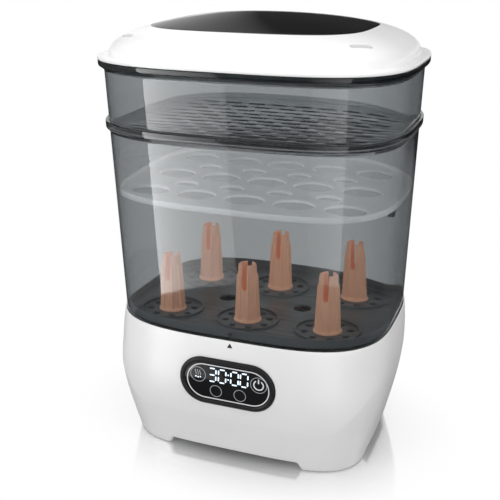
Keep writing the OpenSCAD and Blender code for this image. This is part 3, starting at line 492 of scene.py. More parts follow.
def fleece(name):
    material, tree = new_tree(name)
    place = add(tree, "ShaderNodeTexCoord").outputs["Object"]
    fibres = add(tree, "ShaderNodeTexNoise", {"Vector": place, "Scale": per_metre(0.8), "Detail": 6.0})
    colour = add(tree, "ShaderNodeValToRGB", {"Fac": fibres.outputs["Fac"]})
    colour.color_ramp.elements[0].color = srgb("#dcd9cf")
    colour.color_ramp.elements[1].color = srgb("#fbfaf5")
    bump = add(tree, "ShaderNodeBump", {"Height": fibres.outputs["Fac"], "Distance": 0.2 * MM,
               "Strength": 1.0})
    shader = add(tree, "ShaderNodeBsdfPrincipled", {"Base Color": colour.outputs["Color"],
                 "Roughness": 0.95, "Sheen Weight": 0.3, "Normal": bump.outputs["Normal"]})
    add(tree, "ShaderNodeOutputMaterial", {"Surface": shader.outputs["BSDF"]})
    return material


lacquer = circuit_board("green_solder_resist")
paper = fleece("filter_fleece")

# %% [markdown]
# ## The base housing
# One white ABS moulding, open below. Its plan swells from a drawn-in foot to a belly and closes to
# a thin lip. A soft crease runs low across the front, climbs round the corners and fades out,
# and shallow arches between the feet lift the lower edge. A subdivided cage could do this by eye.
# The mould has one formula for it, so the loft uses that, and the crease is sure to meet itself.

# %% Shape of the housing
BELLY_Z = base_h - 29      # height of the widest part
LIP_T, LIP_CLEAR, HOUSING_T, LEDGE = 1.2, 0.35, 2.6, 8.0
lip_hw, lip_hd = wall_hw(base_h) + LIP_CLEAR + LIP_T, wall_hd(base_h) + LIP_CLEAR + LIP_T
BELLY_OUT, SWELL_BEND = 1.5, 1.1
belly_hw, belly_hd = lip_hw + BELLY_OUT, lip_hd + BELLY_OUT
FOOT_IN_W, FOOT_IN_D, FOOT_FORWARD, FOOT_SQUARE = 16.2, 19.0, 9.0, 0.8
CREASE_H, CREASE_RISE, CREASE_OUT = 48.0, 38.0, 2.0
FOOT_PROUD, ARCH_H, ARCH_W, ARCH_SIDE_W, ARCH_RAMP = 1.0, 8.5, 132.0, 76.0, 8.0


def base_half(z, foot_in, lip):
    swell = np.sin(np.pi / 2 * np.minimum(z, BELLY_Z) / BELLY_Z) ** SWELL_BEND
    above = np.cos(np.pi / 2 * np.maximum(0, z - BELLY_Z) / (base_h - BELLY_Z))
    return np.where(z < BELLY_Z, lip + BELLY_OUT - foot_in + foot_in * swell, lip + BELLY_OUT * above)


def base_n(z):
    return SQUARENESS + FOOT_SQUARE * (1 - z / base_h)


def base_y(z):
    return -FOOT_FORWARD * (1 - z / base_h)


reach = outline_r(belly_hw, belly_hd, SQUARENESS, ANGLES) * np.abs(np.cos(ANGLES)) / belly_hw
crease_z = CREASE_H + CREASE_RISE * ease((reach - 0.7) / 0.3)
crease_share = CREASE_OUT * (1 - ease((reach - 0.88) / 0.12))
CREASE_SOFT = 1.6


def crease_shape(z):
    """A tent over the crease line, its ridge rounded over a millimetre or two."""
    down = z / crease_z
    up = (BELLY_Z - z) / (BELLY_Z - crease_z)
    tent = np.minimum(down, up)
    gap = np.abs(z - crease_z) / CREASE_SOFT
    return np.maximum(0, tent - 0.012 * np.maximum(0, 1 - gap) ** 2)


def base_ring(z, inset=0.0):
    z = z + 0 * ANGLES
    grow = crease_share * crease_shape(z) - inset
    a, b = base_half(z, FOOT_IN_W, lip_hw) + grow, base_half(z, FOOT_IN_D, lip_hd) + grow
    r = outline_r(a, b, base_n(z), ANGLES)
    return np.stack([r * np.cos(ANGLES), r * np.sin(ANGLES) + base_y(z), z], 1)


foot_r = outline_r(belly_hw - FOOT_IN_W, belly_hd - FOOT_IN_D, base_n(0), ANGLES)
arch = np.maximum(ease((ARCH_W / 2 - np.abs(foot_r * np.cos(ANGLES))) / ARCH_RAMP + 0.5),
                  ease((ARCH_SIDE_W / 2 - np.abs(foot_r * np.sin(ANGLES))) / ARCH_RAMP + 0.5))
edge_z = FOOT_PROUD + ARCH_H * arch
print("crease from", round(float(crease_z.min())), "to", round(float(crease_z.max())), "mm")

# %% [markdown]
# The rings run up the outside, over the lip and down the inside. Rows are packed at the crease,
# and the last row below it stops short of it: rows that cross would turn the mesh inside out
# there, and the cuts that follow would take the whole housing away.

# %% Loft the housing
EDGE_STEPS = (0.03, 0.08, 0.16, 0.28, 0.42, 0.56, 0.7, 0.83, 0.93, 0.97)
UPPER_STEPS = (0.03, 0.08, 0.16, 0.25, 0.35, 0.45, 0.55, 0.65, 0.74, 0.82, 0.89, 0.95, 1.0)
seat_hw, seat_hd = wall_hw(base_h) + LIP_CLEAR, wall_hd(base_h) + LIP_CLEAR
ledge_z = deck_low.z + 3
housing_rings = (
    [base_ring(edge_z, HOUSING_T - 0.6), base_ring(edge_z, 0.9), base_ring(edge_z + 0.25, 0.3)]
    + [base_ring(edge_z + (crease_z - edge_z) * f) for f in EDGE_STEPS]
    + [base_ring(crease_z + step) for step in (-0.8, 0.0, 0.8)]
    + [base_ring(crease_z + (base_h - 0.5 - crease_z) * f) for f in UPPER_STEPS]
    + [ring(lip_hw - 0.12, lip_hd - 0.12, base_h - 0.12), ring(lip_hw - 0.45, lip_hd - 0.45, base_h),
       ring(seat_hw + 0.4, seat_hd + 0.4, base_h), ring(seat_hw + 0.1, seat_hd + 0.1, base_h - 0.1),
       ring(seat_hw, seat_hd, base_h - 0.5), ring(seat_hw, seat_hd, ledge_z),
       ring(seat_hw - LEDGE, seat_hd - LEDGE, ledge_z),
       ring(seat_hw - LEDGE, seat_hd - LEDGE, ledge_z - 4)]
    + [base_ring(z, HOUSING_T) for z in (ledge_z - 12, 85, 62, 42, 22)]
    + [base_ring(edge_z + 0.6, HOUSING_T)])
housing = loft("housing_shell", housing_rings)

# %% [markdown]
# The housing is opened where the control panel, the filter tray and the cord gland go through it.
# The panel's recess is a stadium seen from the front, and the filter's is a rectangle square to
# the leaning rear wall, so each cutter is a prism laid along its own direction.

# %% Open the housing for the panel, the filter and the cord
FIT = 0.3
bezel_low, bezel_high = box_mm("control_bezel")
bezel_w, bezel_h = bezel_high.x - bezel_low.x, bezel_high.z - bezel_low.z
bezel_z = (bezel_low.z + bezel_high.z) / 2
BEZEL_T, NECK_LESS, SINK = 2.6, 6.0, 12.0      # SINK is how deep a recess cutter is
gland_low, gland_high = box_mm("cord_gland")
gland_x, gland_z = (gland_low.x + gland_high.x) / 2, (gland_low.z + gland_high.z) / 2
gland_seat = gland_high.y - 3
GLAND_HOLE_R = 8.6


def base_rear(x, z):
    a, b = float(base_half(z, FOOT_IN_W, lip_hw)), float(base_half(z, FOOT_IN_D, lip_hd))
    n = float(base_n(z))
    return float(base_y(z)) + b * (1 - (abs(x) / a) ** n) ** (1 / n)


def base_front(x, z):
    return 2 * float(base_y(z)) - base_rear(x, z)


filter_x, filter_z = -22.0, 55.0
lean = math.atan2(base_rear(filter_x, filter_z + 20) - base_rear(filter_x, filter_z - 20), 40)
at_filter = (Matrix.Translation((filter_x, base_rear(filter_x, filter_z), filter_z))
             @ Matrix.Rotation(-lean, 4, "X"))
FILTER_W, FILTER_H, TRAY_LESS, COVER_T = 62.0, 44.0, 8.0, 2.8
tray_w, tray_h = FILTER_W - TRAY_LESS, FILTER_H - TRAY_LESS


def rectangle(w, h):
    return [(-w / 2, -h / 2), (w / 2, -h / 2), (w / 2, h / 2), (-w / 2, h / 2)]


def across(y):
    """Turns a flat plate to face along Y, its middle at y."""
    return Matrix.Translation((0, y, 0)) @ Matrix.Rotation(math.radians(90), 4, "X")


cut(housing,
    prism("recess_cut", stadium(bezel_w + 2 * FIT, bezel_h + 2 * FIT), SINK,
          upright(bezel_low.y + BEZEL_T - SINK / 2, bezel_z)),
    prism("neck_cut", stadium(bezel_w - NECK_LESS + 2 * FIT, bezel_h - NECK_LESS + 2 * FIT), 30,
          upright(bezel_low.y, bezel_z)),
    prism("cover_cut", rectangle(FILTER_W + 2 * FIT, FILTER_H + 2 * FIT), SINK,
          at_filter @ across(SINK / 2 - COVER_T)),
    prism("tray_cut", rectangle(tray_w + 2 * FIT, tray_h + 2 * FIT), 40, at_filter @ across(0)),
    prism("gland_cut", circle(GLAND_HOLE_R, count=64), 20,
          upright(gland_seat + 10, gland_z, gland_x)))
settle(housing, white_abs, "base", "white_gloss_abs", "base_housing")

# %% Frame of the filter bay and the boss behind the gland, both part of the same moulding
BAY_WALL, BAY_DEPTH, BAY_BACK = 8.0, 21.2, 13.4
bay = plate("filter_bay", [rectangle(tray_w + 2 * BAY_WALL, tray_h + 2 * BAY_WALL),
            rectangle(tray_w + 2 * FIT, tray_h + 2 * FIT)], BAY_DEPTH, 0.3,
            at_filter @ across(-BAY_BACK))
BOSS_R, BOSS_HOLE_R, BOSS_DEPTH = 12.0, 6.1, 10.0
boss = plate("gland_boss", [circle(BOSS_R, count=64), circle(BOSS_HOLE_R)], BOSS_DEPTH, 0.3,
             upright(gland_seat - BOSS_DEPTH / 2, gland_z, gland_x))
for piece in (bay, boss):
    settle(piece, white_abs, "base", "white_gloss_abs")

# %% [markdown]
# ## The control panel
# A black ABS ring stands just proud of the housing and frames a gloss panel. The ring is turned
# in mesh as a loft round a stadium, because its face is slightly crowned and catches a line of
# light, which a flat plate wouldn't.

# %% Bezel ring and glass
BEZEL_RING = 4.8
bezel_back = bezel_low.y + BEZEL_T


def stadium_ring(inset, y, arc=40):
    points = stadium(bezel_w - 2 * inset, bezel_h - 2 * inset, arc=arc)
    return [(x, y, bezel_z + z) for x, z in points]


crown = rounded([(0, bezel_back, 0.2), (0, bezel_low.y + 0.9, 1.2), (1.6, bezel_low.y, 2.0),
                 (BEZEL_RING - 1.3, bezel_low.y, 1.4), (BEZEL_RING, bezel_low.y + 0.8, 0.5),
                 (BEZEL_RING, bezel_back + 0.4, 0.2), (8.3, bezel_back + 0.4, 0.2),
                 (8.3, bezel_back + 5, 0.3), (3, bezel_back + 5, 0.3), (3, bezel_back, 0.2)])
bezel = loft("bezel_ring", [stadium_ring(inset, y) for inset, y in crown])
settle(bezel, bezel_abs, "base", "bezel_black", "control_bezel")

glass_low, glass_high = box_mm("touch_glass")
glass_front = glass_low.y
GLASS_T = 2.5
glass_w, glass_h = glass_high.x - glass_low.x, glass_high.z - glass_low.z
glass = plate("panel_glass", [stadium(glass_w, glass_h, arc=40)], GLASS_T, 0.25,
              upright(glass_front + GLASS_T / 2, bezel_z))

# %% [markdown]
# The glass is printed black on its back, so from outside it is a deep gloss with nothing to see
# behind it. Bare glass would mirror the soft boxes over the digits, so the index is set lower than
# glass has, as a film against glare would make it.

# %% Printed glass and lit ink
panel_black = moulded_plastic("back_printed_glass", "#1f1f21", 0.06, grain_depth=0.0, wave_depth=0.0,
                              spread=0.03, tone=0.3, ior=1.25)
settle(glass, panel_black, "base", "panel_glass", "touch_glass")


def lit_ink(name, colour, glow):
    """White ink with a lamp behind it: a matt pigment that also glows a little."""
    material, tree = new_tree(name)
    place = add(tree, "ShaderNodeTexCoord").outputs["Object"]
    pigment = add(tree, "ShaderNodeTexNoise", {"Vector": place, "Scale": per_metre(0.5), "Detail": 2.0})
    shade = add(tree, "ShaderNodeMapRange", {"Value": pigment.outputs["Fac"], "To Min": 0.85,
                "To Max": 1.0})
    tint = add(tree, "ShaderNodeMix", {"Factor": 1.0, 6: srgb(colour), 7: shade.outputs["Result"]},
               data_type="RGBA", blend_type="MULTIPLY")
    shader = add(tree, "ShaderNodeBsdfPrincipled", {"Base Color": tint.outputs[2], "Roughness": 0.4,
                 "Emission Color": srgb(colour), "Emission Strength": glow})
    add(tree, "ShaderNodeOutputMaterial", {"Surface": shader.outputs["BSDF"]})
    return material


outline_ink = lit_ink("outline_ink", "#e6e6e8", 0.0)
key_ink = lit_ink("key_ring_ink", "#b4b6ba", 0.0)
digit_light = lit_ink("display_light", "#dfeefb", 0.85)
power_ink = lit_ink("power_key_ink", "#d8dadd", 0.15)

# %% Marks on the glass: outline, keys and power sign
INK_T = 0.06


def mark(name, loops, ink, x=0.0, z=0.0):
    piece = plate(name, loops, INK_T, 0.0, upright(glass_front - INK_T / 2, z or bezel_z, x))
    return settle(piece, ink, "base", "panel_glass")


def arc_band(r, width, first, last, count=40):
    """A band along an arc, from angle first to last in degrees."""
    turns = [math.radians(first + (last - first) * k / count) for k in range(count + 1)]
    outer = [((r + width / 2) * math.cos(t), (r + width / 2) * math.sin(t)) for t in turns]
    inner = [((r - width / 2) * math.cos(t), (r - width / 2) * math.sin(t)) for t in reversed(turns)]
    return outer + inner


OUTLINE_W, OUTLINE_H, OUTLINE_BAND = 81.4, 35.4, 1.1
OUTLINE_X = 1.0
mark("panel_outline", [stadium(OUTLINE_W - 2 * inset, OUTLINE_H - 2 * inset, arc=40)
                       for inset in (0, OUTLINE_BAND)], outline_ink, x=OUTLINE_X, z=bezel_z)
# Each key is its ring's place across, its height and its radius
KEYS = {"steam_key": (-28.3, 92.8, 7.7), "power_key": (31.3, 92.2, 8.0),
        "mode_key": (-10.8, 78.2, 6.0), "time_key": (12.9, 77.9, 6.0)}
KEY_BAND = 0.55
for name, (x, z, r) in KEYS.items():
    mark(name, [circle(r, count=64), circle(r - KEY_BAND, count=64)], key_ink, x, z)
mark("power_arc", [arc_band(4.6, 1.2, 122, 418)], power_ink, *KEYS["power_key"][:2])
mark("power_bar", [[(-0.6, 1.6), (0.6, 1.6), (0.6, 6.2), (-0.6, 6.2)]], power_ink,
     *KEYS["power_key"][:2])


def steam_wave(x, bottom, top, width=0.7, count=24):
    """A rising wisp: one full wave along a narrow band."""
    heights = [bottom + (top - bottom) * k / count for k in range(count + 1)]
    sway = [0.55 * math.sin(2 * math.pi * k / count) for k in range(count + 1)]
    right = [(x + s + width / 2, h) for s, h in zip(sway, heights)]
    left = [(x + s - width / 2, h) for s, h in zip(sway, heights)]
    return right + left[::-1]


WISPS = (-2.2, 0.0, 2.2)
mark("steam_waves", [steam_wave(x, -0.6, 4.8) for x in WISPS], key_ink, *KEYS["steam_key"][:2])
mark("steam_drops", [circle(0.75, x, -2.9 + 0.5 * abs(x) / 2.2) for x in WISPS], digit_light,
     *KEYS["steam_key"][:2])

# %% Digits on seven segments
SEGMENTS = {"0": "abcdef", "3": "abcdg"}
DIGIT_W, DIGIT_H, SEGMENT_W, SEGMENT_GAP, SLANT = 7.2, 13.4, 1.35, 0.95, 0.05


def segment(x0, z0, x1, z1):
    """One bar with pointed ends from (x0, z0) to (x1, z1), leaning with the digit."""
    a, b = Vector((x0, z0)), Vector((x1, z1))
    along = (b - a).normalized()
    side = Vector((-along.y, along.x)) * SEGMENT_W / 2
    a, b = a + along * SEGMENT_GAP, b - along * SEGMENT_GAP
    tip = along * SEGMENT_W / 2
    corners = (a, a + tip - side, b - tip - side, b, b - tip + side, a + tip + side)
    return [(q.x + SLANT * q.y, q.y) for q in corners]


def digit(character, x):
    w, h = DIGIT_W / 2, DIGIT_H / 2
    ends = {"a": (-w, h, w, h), "b": (w, h, w, 0), "c": (w, 0, w, -h), "d": (-w, -h, w, -h),
            "e": (-w, -h, -w, 0), "f": (-w, 0, -w, h), "g": (-w, 0, w, 0)}
    return [segment(*(c + (x if k % 2 == 0 else 0) for k, c in enumerate(ends[name])))
            for name in SEGMENTS[character]]


DIGIT_Z = 94.5
PLACES = {"minutes_ten": ("3", -14.0), "minutes": ("0", -4.2), "seconds_ten": ("0", 8.0),
          "seconds": ("0", 17.3)}
for name, (character, x) in PLACES.items():
    mark("digit_" + name, digit(character, x), digit_light, 0.0, DIGIT_Z)
mark("digit_colon", [circle(0.8, 1.9, 2.6, 20), circle(0.8, 1.7, -2.2, 20)], digit_light, 0.0,
     DIGIT_Z)

# %% [markdown]
# ## Arrows that line the tiers up
# One small triangle is printed on the housing and one on the clear wall, point to point. Each is
# a thin patch whose points are laid on the curved surface, just proud of it.

# %% Printed arrows
arrow_ink = lit_ink("arrow_ink", "#060606", 0.0)


def arrow(name, surface_y, x, tip_z, foot_z, half_w):
    bm = bmesh.new()
    rows = 8
    front, back = [], []
    for k in range(rows + 1):
        z = tip_z + (foot_z - tip_z) * k / rows
        w = half_w * max(k / rows, 0.02)
        for sheet, lift in ((front, 0.1), (back, 0.02)):
            sheet.append([bm.verts.new((x + side * w, surface_y(x + side * w, z) - lift, z))
                          for side in (-1, 0, 1)])
    for sheet in (front, back):
        for a, b in zip(sheet, sheet[1:]):
            for i in (0, 1):
                bm.faces.new((a[i], a[i + 1], b[i + 1], b[i]))
    for i, j in ((0, 1), (1, 2)):
        for k in (0, rows):
            bm.faces.new((front[k][i], front[k][j], back[k][j], back[k][i]))
    for k in range(rows):
        for i in (0, 2):
            bm.faces.new((front[k][i], front[k + 1][i], back[k + 1][i], back[k][i]))
    return new_piece(name, bm)


def wall_front(x, z):
    a, b = wall_hw(z), wall_hd(z)
    return -b * (1 - (abs(x) / a) ** SQUARENESS) ** (1 / SQUARENESS)


ARROW_W, ARROW_H = 2.6, 4.4
UP_X, UP_TIP, DOWN_X, DOWN_TIP = 2.0, 127.2, 1.3, 132.0
settle(arrow("arrow_up", base_front, UP_X, UP_TIP, UP_TIP - ARROW_H, ARROW_W),
       arrow_ink, "base", "bezel_black")
settle(arrow("arrow_down", wall_front, DOWN_X, DOWN_TIP, DOWN_TIP + ARROW_H, ARROW_W),
       arrow_ink, "lower_chamber", "bezel_black")

# %% [markdown]
# ## The smoked lower chamber
# The chamber is one wall with a band at its top that the next tier nests in. Its profile is
# drawn once as a closed line, with a radius at every corner, and swept round the plan.
# Clear plastic shows its thickness at every edge, so both faces of the wall are modelled.

# %% Lower chamber
band_seat = tier_foot - SEAT_GAP
BAND_CLEAR, BAND_FLARE = 0.5, 3.5
wall_profile = rounded([
    (0, chamber_foot, 0.6), (0, band_seat - BAND_FLARE, 4), (BAND_CLEAR + WALL, band_seat, 1.5),
    (BAND_CLEAR + WALL, band_top, 0.8), (BAND_CLEAR, band_top, 0.4), (BAND_CLEAR, band_seat, 0.3),
    (-WALL, band_seat, 0.5), (-WALL, chamber_foot, 0.6)])
chamber = loft("lower_chamber_wall", [wall_ring(z, grow) for grow, z in wall_profile])
settle(chamber, smoked, "lower_chamber", "smoked_clear", "lower_chamber")

# %% Four supports for the shelf, moulded on the chamber's inner side
shelf_low, shelf_high = box_mm("accessory_shelf")
SUPPORT_T, SUPPORT_Y, SUPPORT_L, SUPPORT_D, SUPPORT_IN = 4.0, 40.0, 8.0, 4.5, 2.3
support_z = shelf_low.z - SEAT_GAP - SUPPORT_T / 2
angle = math.atan2(SUPPORT_Y, wall_hw(support_z))
out_there = float(outline_r(wall_hw(support_z), wall_hd(support_z), SQUARENESS, angle))
support_x = out_there * math.cos(angle) - WALL - SUPPORT_IN
for side_x, side_name in ((-1, "left"), (1, "right")):
    for side_y, end_name in ((-1, "front"), (1, "rear")):
        place = Matrix.Translation((side_x * support_x, side_y * SUPPORT_Y, support_z))
        support = plate(f"shelf_support_{side_name}_{end_name}", [rectangle(SUPPORT_D, SUPPORT_L)],
                        SUPPORT_T, 0.5, place)
        settle(support, smoked, "lower_chamber", "smoked_clear")

# %% [markdown]
# ## The smoked upper tier
# A tray whose floor is pierced by staggered slots, so that steam rises through it. Cutting a
# hundred slots with a Boolean leaves ragged shading, so the floor is a filled curve with the slots
# as inner loops. The wall's rim flares out to carry the lid.

# %% Upper tier
tier_profile = rounded([
    (0, tier_foot, 0.5), (0, tier_top - 8.5, 4), (RIM_OUT - 0.4, tier_top - 5, 0.8),
    (RIM_OUT, tier_top - 4, 0.5), (RIM_OUT, tier_top, 0.5), (-WALL, tier_top, 0.6),
    (-WALL, tier_foot, 0.5)])
tier = loft("upper_tier_wall", [wall_ring(z, grow) for grow, z in tier_profile])
settle(tier, smoked, "upper_tier", "smoked_clear", "upper_tier")

FLOOR_T, SLOT_L, SLOT_W, SLOT_PITCH, ROW_PITCH = 2.2, 18.0, 5.0, 25.0, 15.0
floor_z = tier_foot + 1.2 + FLOOR_T / 2
JOIN = 0.05     # the floor stops this far short of the wall, so that clear pieces don't overlap
slots = []
for row in range(-5, 6):
    shift = row % 2
    for column in range(-4, 5 - shift):
        slots.append(stadium(SLOT_L, SLOT_W, (column + shift / 2) * SLOT_PITCH, row * ROW_PITCH, 8))
tier_floor = plate("upper_tier_floor", [flat_outline(wall_hw(floor_z) - WALL - JOIN,
                   wall_hd(floor_z) - WALL - JOIN)] + slots, FLOOR_T, 0.15, level(floor_z))
settle(tier_floor, smoked, "upper_tier", "smoked_clear")
print(len(slots), "steam slots")

# %% [markdown]
# ## The accessory shelf
# A thin translucent tray with large ovals for teats and collars. Light goes through it but shapes
# behind it blur, so its plastic is the same clear base with a rough skin.

# %% Accessory shelf
SHELF_T, SHELF_RIM_T = 2.5, 1.8
BIG_OVAL, SMALL_OVAL, OVAL_PITCH_X, OVAL_PITCH_Y = (38, 28), (24, 16), 47, 58
shelf_z = shelf_low.z
shelf_loops = [flat_outline(shelf_high.x, shelf_high.y)]
for column in range(-2, 3):
    shelf_loops += [oval(*BIG_OVAL, column * OVAL_PITCH_X, row * OVAL_PITCH_Y)
                    for row in (-1, 0, 1)]
for column in (-1.5, -0.5, 0.5, 1.5):
    shelf_loops += [oval(*SMALL_OVAL, column * OVAL_PITCH_X, row * OVAL_PITCH_Y)
                    for row in (-0.5, 0.5)]
shelf = plate("accessory_shelf_tray", shelf_loops, SHELF_T, 0.6, level(shelf_z + SHELF_T / 2))
shelf_rim = loft("accessory_shelf_rim", [ring(shelf_high.x + grow, shelf_high.y + grow, z)
                 for grow, z in rounded([(-0.05, shelf_z + SHELF_T - 0.3, 0.1), (0, shelf_high.z, 0.6),
                 (-SHELF_RIM_T, shelf_high.z, 0.6), (-SHELF_RIM_T - 0.3, shelf_z + SHELF_T - 0.3, 0.1)])])
for part, nodes in ((shelf, ["accessory_shelf"]), (shelf_rim, [])):
    settle(part, frosted, "shelf", "frosted_clear", *nodes)

# %% [markdown]
# ## The bottle rack and its posts
# The rack is a dark grey plate with a ring for each bottle's neck and holes for the steam.
# The posts are peach coloured. Each is a tapered tube with eight ribs, a small foot and a slot
# down from its open top, so that steam reaches inside a bottle. Its ribs are a formula on the
# radius, which keeps the faces even, and only the slot is cut.

# %% Rack
rack_low, rack_high = box_mm("bottle_rack")
RACK_T, RACK_LEG_H = 2.5, 6.2
rack_z = rack_low.z + RACK_LEG_H
rack_top = rack_z + RACK_T
RING_R, RING_T, RING_H = 30.0, 1.4, 2.0
POST_HOLE_R, STEAM_HOLE_R, STEAM_CIRCLE_R, STEAM_HOLES, MIDDLE_HOLE_R = 6.0, 3.5, 21.0, 8, 9.0
posts = [box_mm(f"bottle_post_{k}") for k in range(1, 7)]
post_spots = [((low.x + high.x) / 2, (low.y + high.y) / 2) for low, high in posts]
rack_loops = [flat_outline(rack_high.x, rack_high.y)]
for x, y in post_spots:
    rack_loops.append(circle(POST_HOLE_R + 0.15, x, y))
    for k in range(STEAM_HOLES):
        t = math.radians(360 / STEAM_HOLES * (k + 0.5))
        rack_loops.append(circle(STEAM_HOLE_R, x + STEAM_CIRCLE_R * math.cos(t),
                                 y + STEAM_CIRCLE_R * math.sin(t), 24))
middle_y = (post_spots[0][1] + post_spots[3][1]) / 2
for side in (-1, 1):
    rack_loops.append(circle(MIDDLE_HOLE_R, side * post_spots[2][0] / 2, middle_y))
rack = plate("rack_plate", rack_loops, RACK_T, 0.5, level(rack_z + RACK_T / 2))
settle(rack, rack_pp, "rack", "rack_grey_pp", "bottle_rack")
rack_parts = [loft("rack_rim", [ring(rack_high.x + grow, rack_high.y + grow, z) for grow, z in
              rounded([(0, rack_top - 0.5, 0.2), (0, rack_high.z, 0.8), (-2, rack_high.z, 0.8),
                       (-2, rack_top - 0.5, 0.2)])])]


def turned(name, x, y, profile, count=96):
    """A closed profile of (radius, height, corner) turned round an upright axis."""
    a = np.arange(count) * 2 * np.pi / count
    return loft(name, [np.stack([x + r * np.cos(a), y + r * np.sin(a), z + 0 * a], 1)
                       for r, z in rounded(profile)])


for k, (x, y) in enumerate(post_spots):
    rack_parts.append(turned(f"rack_ring_{k + 1}", x, y, [
        (RING_R, rack_top - 0.4, 0.1), (RING_R, rack_top + RING_H, 0.5),
        (RING_R - RING_T, rack_top + RING_H, 0.5), (RING_R - RING_T, rack_top - 0.4, 0.1)]))
LEG_IN_X, LEG_IN_Y, MIDDLE_LEG_IN, LEG_R, LEG_BORE_R = 28, 34, 12, 4, 1
leg_x, leg_y = rack_high.x - LEG_IN_X, rack_high.y - LEG_IN_Y
leg_spots = [(sx * leg_x, sy * leg_y) for sx in (-1, 1) for sy in (-1, 1)]
leg_spots += [(0, sy * (rack_high.y - MIDDLE_LEG_IN)) for sy in (-1, 1)]
for k, (x, y) in enumerate(leg_spots):
    rack_parts.append(turned(f"rack_leg_{k + 1}", x, y, [
        (LEG_R, rack_low.z, 0.5), (LEG_R, rack_z + 0.3, 0.1), (LEG_BORE_R, rack_z + 0.3, 0.1),
        (LEG_BORE_R, rack_low.z, 0.4)], 40))
for part in rack_parts:
    settle(part, rack_pp, "rack", "rack_grey_pp")

# %% Posts
POST_R, POST_TIP, POST_FLARE, POST_FOOT = 11.0, 2.6, 2.2, 3.5
RIB_OUT, RIB_W, RIBS, RIB_SHORT = 1.1, 1.6, 8, 9
BORE_FLOOR, BORE_LOW_R, BORE_TOP_R = 14, 5.6, 5.7
post_h = posts[0][1].z - rack_top


def post_ring(r, height, rib=0.0, count=192):
    a = np.arange(count) * 2 * np.pi / count
    pitch = 2 * np.pi / RIBS
    off = np.abs((a / pitch) % 1 - 0.5) * pitch * max(r, 1)
    r = r + rib * (1 - ease((off - RIB_W / 2 + 0.3) / 0.6))
    return np.stack([r * np.cos(a), r * np.sin(a), rack_top + height + 0 * a], 1)


def post_radius(height):
    return POST_R - POST_TIP * (height - POST_FOOT) / (post_h - POST_FOOT)


rib_top = post_h - RIB_SHORT
post_rings = [post_ring(0.3, -RACK_T - 1), post_ring(POST_HOLE_R - 0.5, -RACK_T - 1),
              post_ring(POST_HOLE_R, -RACK_T - 0.6), post_ring(POST_HOLE_R, 0),
              post_ring(POST_R + POST_FLARE - 0.3, 0.0), post_ring(POST_R + POST_FLARE, 0.4),
              post_ring(POST_R + POST_FLARE, 1.2), post_ring(POST_R + POST_FLARE - 0.5, 1.7),
              post_ring(POST_R + 0.7, 2.2), post_ring(post_radius(3), 3.2, RIB_OUT * 0.7)]
post_rings += [post_ring(post_radius(h), h, RIB_OUT) for h in np.linspace(4.5, rib_top - 2, 14)]
post_rings += [post_ring(post_radius(rib_top - 0.8), rib_top - 0.8, RIB_OUT * 0.7),
               post_ring(post_radius(rib_top), rib_top, 0.0),
               post_ring(post_radius(post_h - 4), post_h - 4),
               post_ring(post_radius(post_h) - 0.1, post_h - 0.8),
               post_ring(post_radius(post_h) - 0.9, post_h), post_ring(BORE_TOP_R + 0.4, post_h),
               post_ring(BORE_TOP_R, post_h - 0.6), post_ring(6.4, BORE_FLOOR + 2),
               post_ring(BORE_LOW_R, BORE_FLOOR), post_ring(0.3, BORE_FLOOR)]
post = loft("bottle_post_1_tube", post_rings, closed=False)
NOTCH_W, NOTCH_DEPTH = 5.0, 24.0
notch_points = [(-NOTCH_W / 2, 2), (-NOTCH_W / 2, -NOTCH_DEPTH + NOTCH_W / 2)]
notch_points += [(NOTCH_W / 2 * math.cos(t), -NOTCH_DEPTH + NOTCH_W / 2 + NOTCH_W / 2 * math.sin(t))
                 for t in np.linspace(math.pi, 2 * math.pi, 14)[1:-1]]
notch_points += [(NOTCH_W / 2, -NOTCH_DEPTH + NOTCH_W / 2), (NOTCH_W / 2, 2)]
cut(post, prism("notch_cut", notch_points, 40, upright(0, rack_top + post_h)))
for k, (x, y) in enumerate(post_spots):
    copy = post if k == 0 else bpy.data.objects.new(f"bottle_post_{k + 1}_tube", post.data)
    if k:
        bpy.context.scene.collection.objects.link(copy)
    copy.location = (x * MM, y * MM, 0)
    settle(copy, peach_pp, "rack", "peach_pp", f"bottle_post_{k + 1}")

# %% [markdown]
# ## The lid
# A white shell: a thin flange that overhangs the rim, a dome with two steam slots, and a gloss
# black insert let into the crown. Across the dome the outline softens from a rounded rectangle to
# an ellipse while the height follows its own curve, and both are functions of one angle t, from
# 0 at the dome's foot to 90 degrees at its crown.

# %% Shape of the lid
lid_high = box_mm("lid_shell")[1]
lid_z = tier_top + SEAT_GAP
dome_foot = lid_z + 3.6
DOME_IN, DOME_H, LID_T, INSERT_W, INSERT_T, RECESS = 9.1, 33.7, 2.4, 196.2, 1.8, 0.2
DOME_BULGE, DOME_CLIMB, CROWN_SOFT, CROWN_LATE = 1.06, 0.89, 1.4, 9
dome_hw, dome_hd = rim_hw - DOME_IN, rim_hd - DOME_IN
SKIRT_IN, SKIRT_T, SKIRT_H = RIM_OUT + WALL + 0.9, 2.3, 9.0
insert_t0 = math.acos((INSERT_W / 2 / dome_hw) ** (1 / DOME_BULGE))
crown_t = math.radians(89.3)


def rise(t):
    return math.sin(t) ** DOME_CLIMB


def dome_ring(t, inset=0.0, drop=0.0):
    scale = math.cos(t) ** DOME_BULGE
    n = SQUARENESS - CROWN_SOFT * rise(t) ** CROWN_LATE
    a, b = max(dome_hw * scale - inset, 0.2), max(dome_hd * scale - inset, 0.2)
    return ring(a, b, dome_foot + DOME_H * rise(t) - drop, n)


def rim_ring(inset, z):
    return ring(rim_hw - inset, rim_hd - inset, z)


def steps(first, last, count, bend=1.0):
    """Angles from first to last, closer together at the start if bend is over 1."""
    return [first + (last - first) * (k / count) ** bend for k in range(count + 1)]


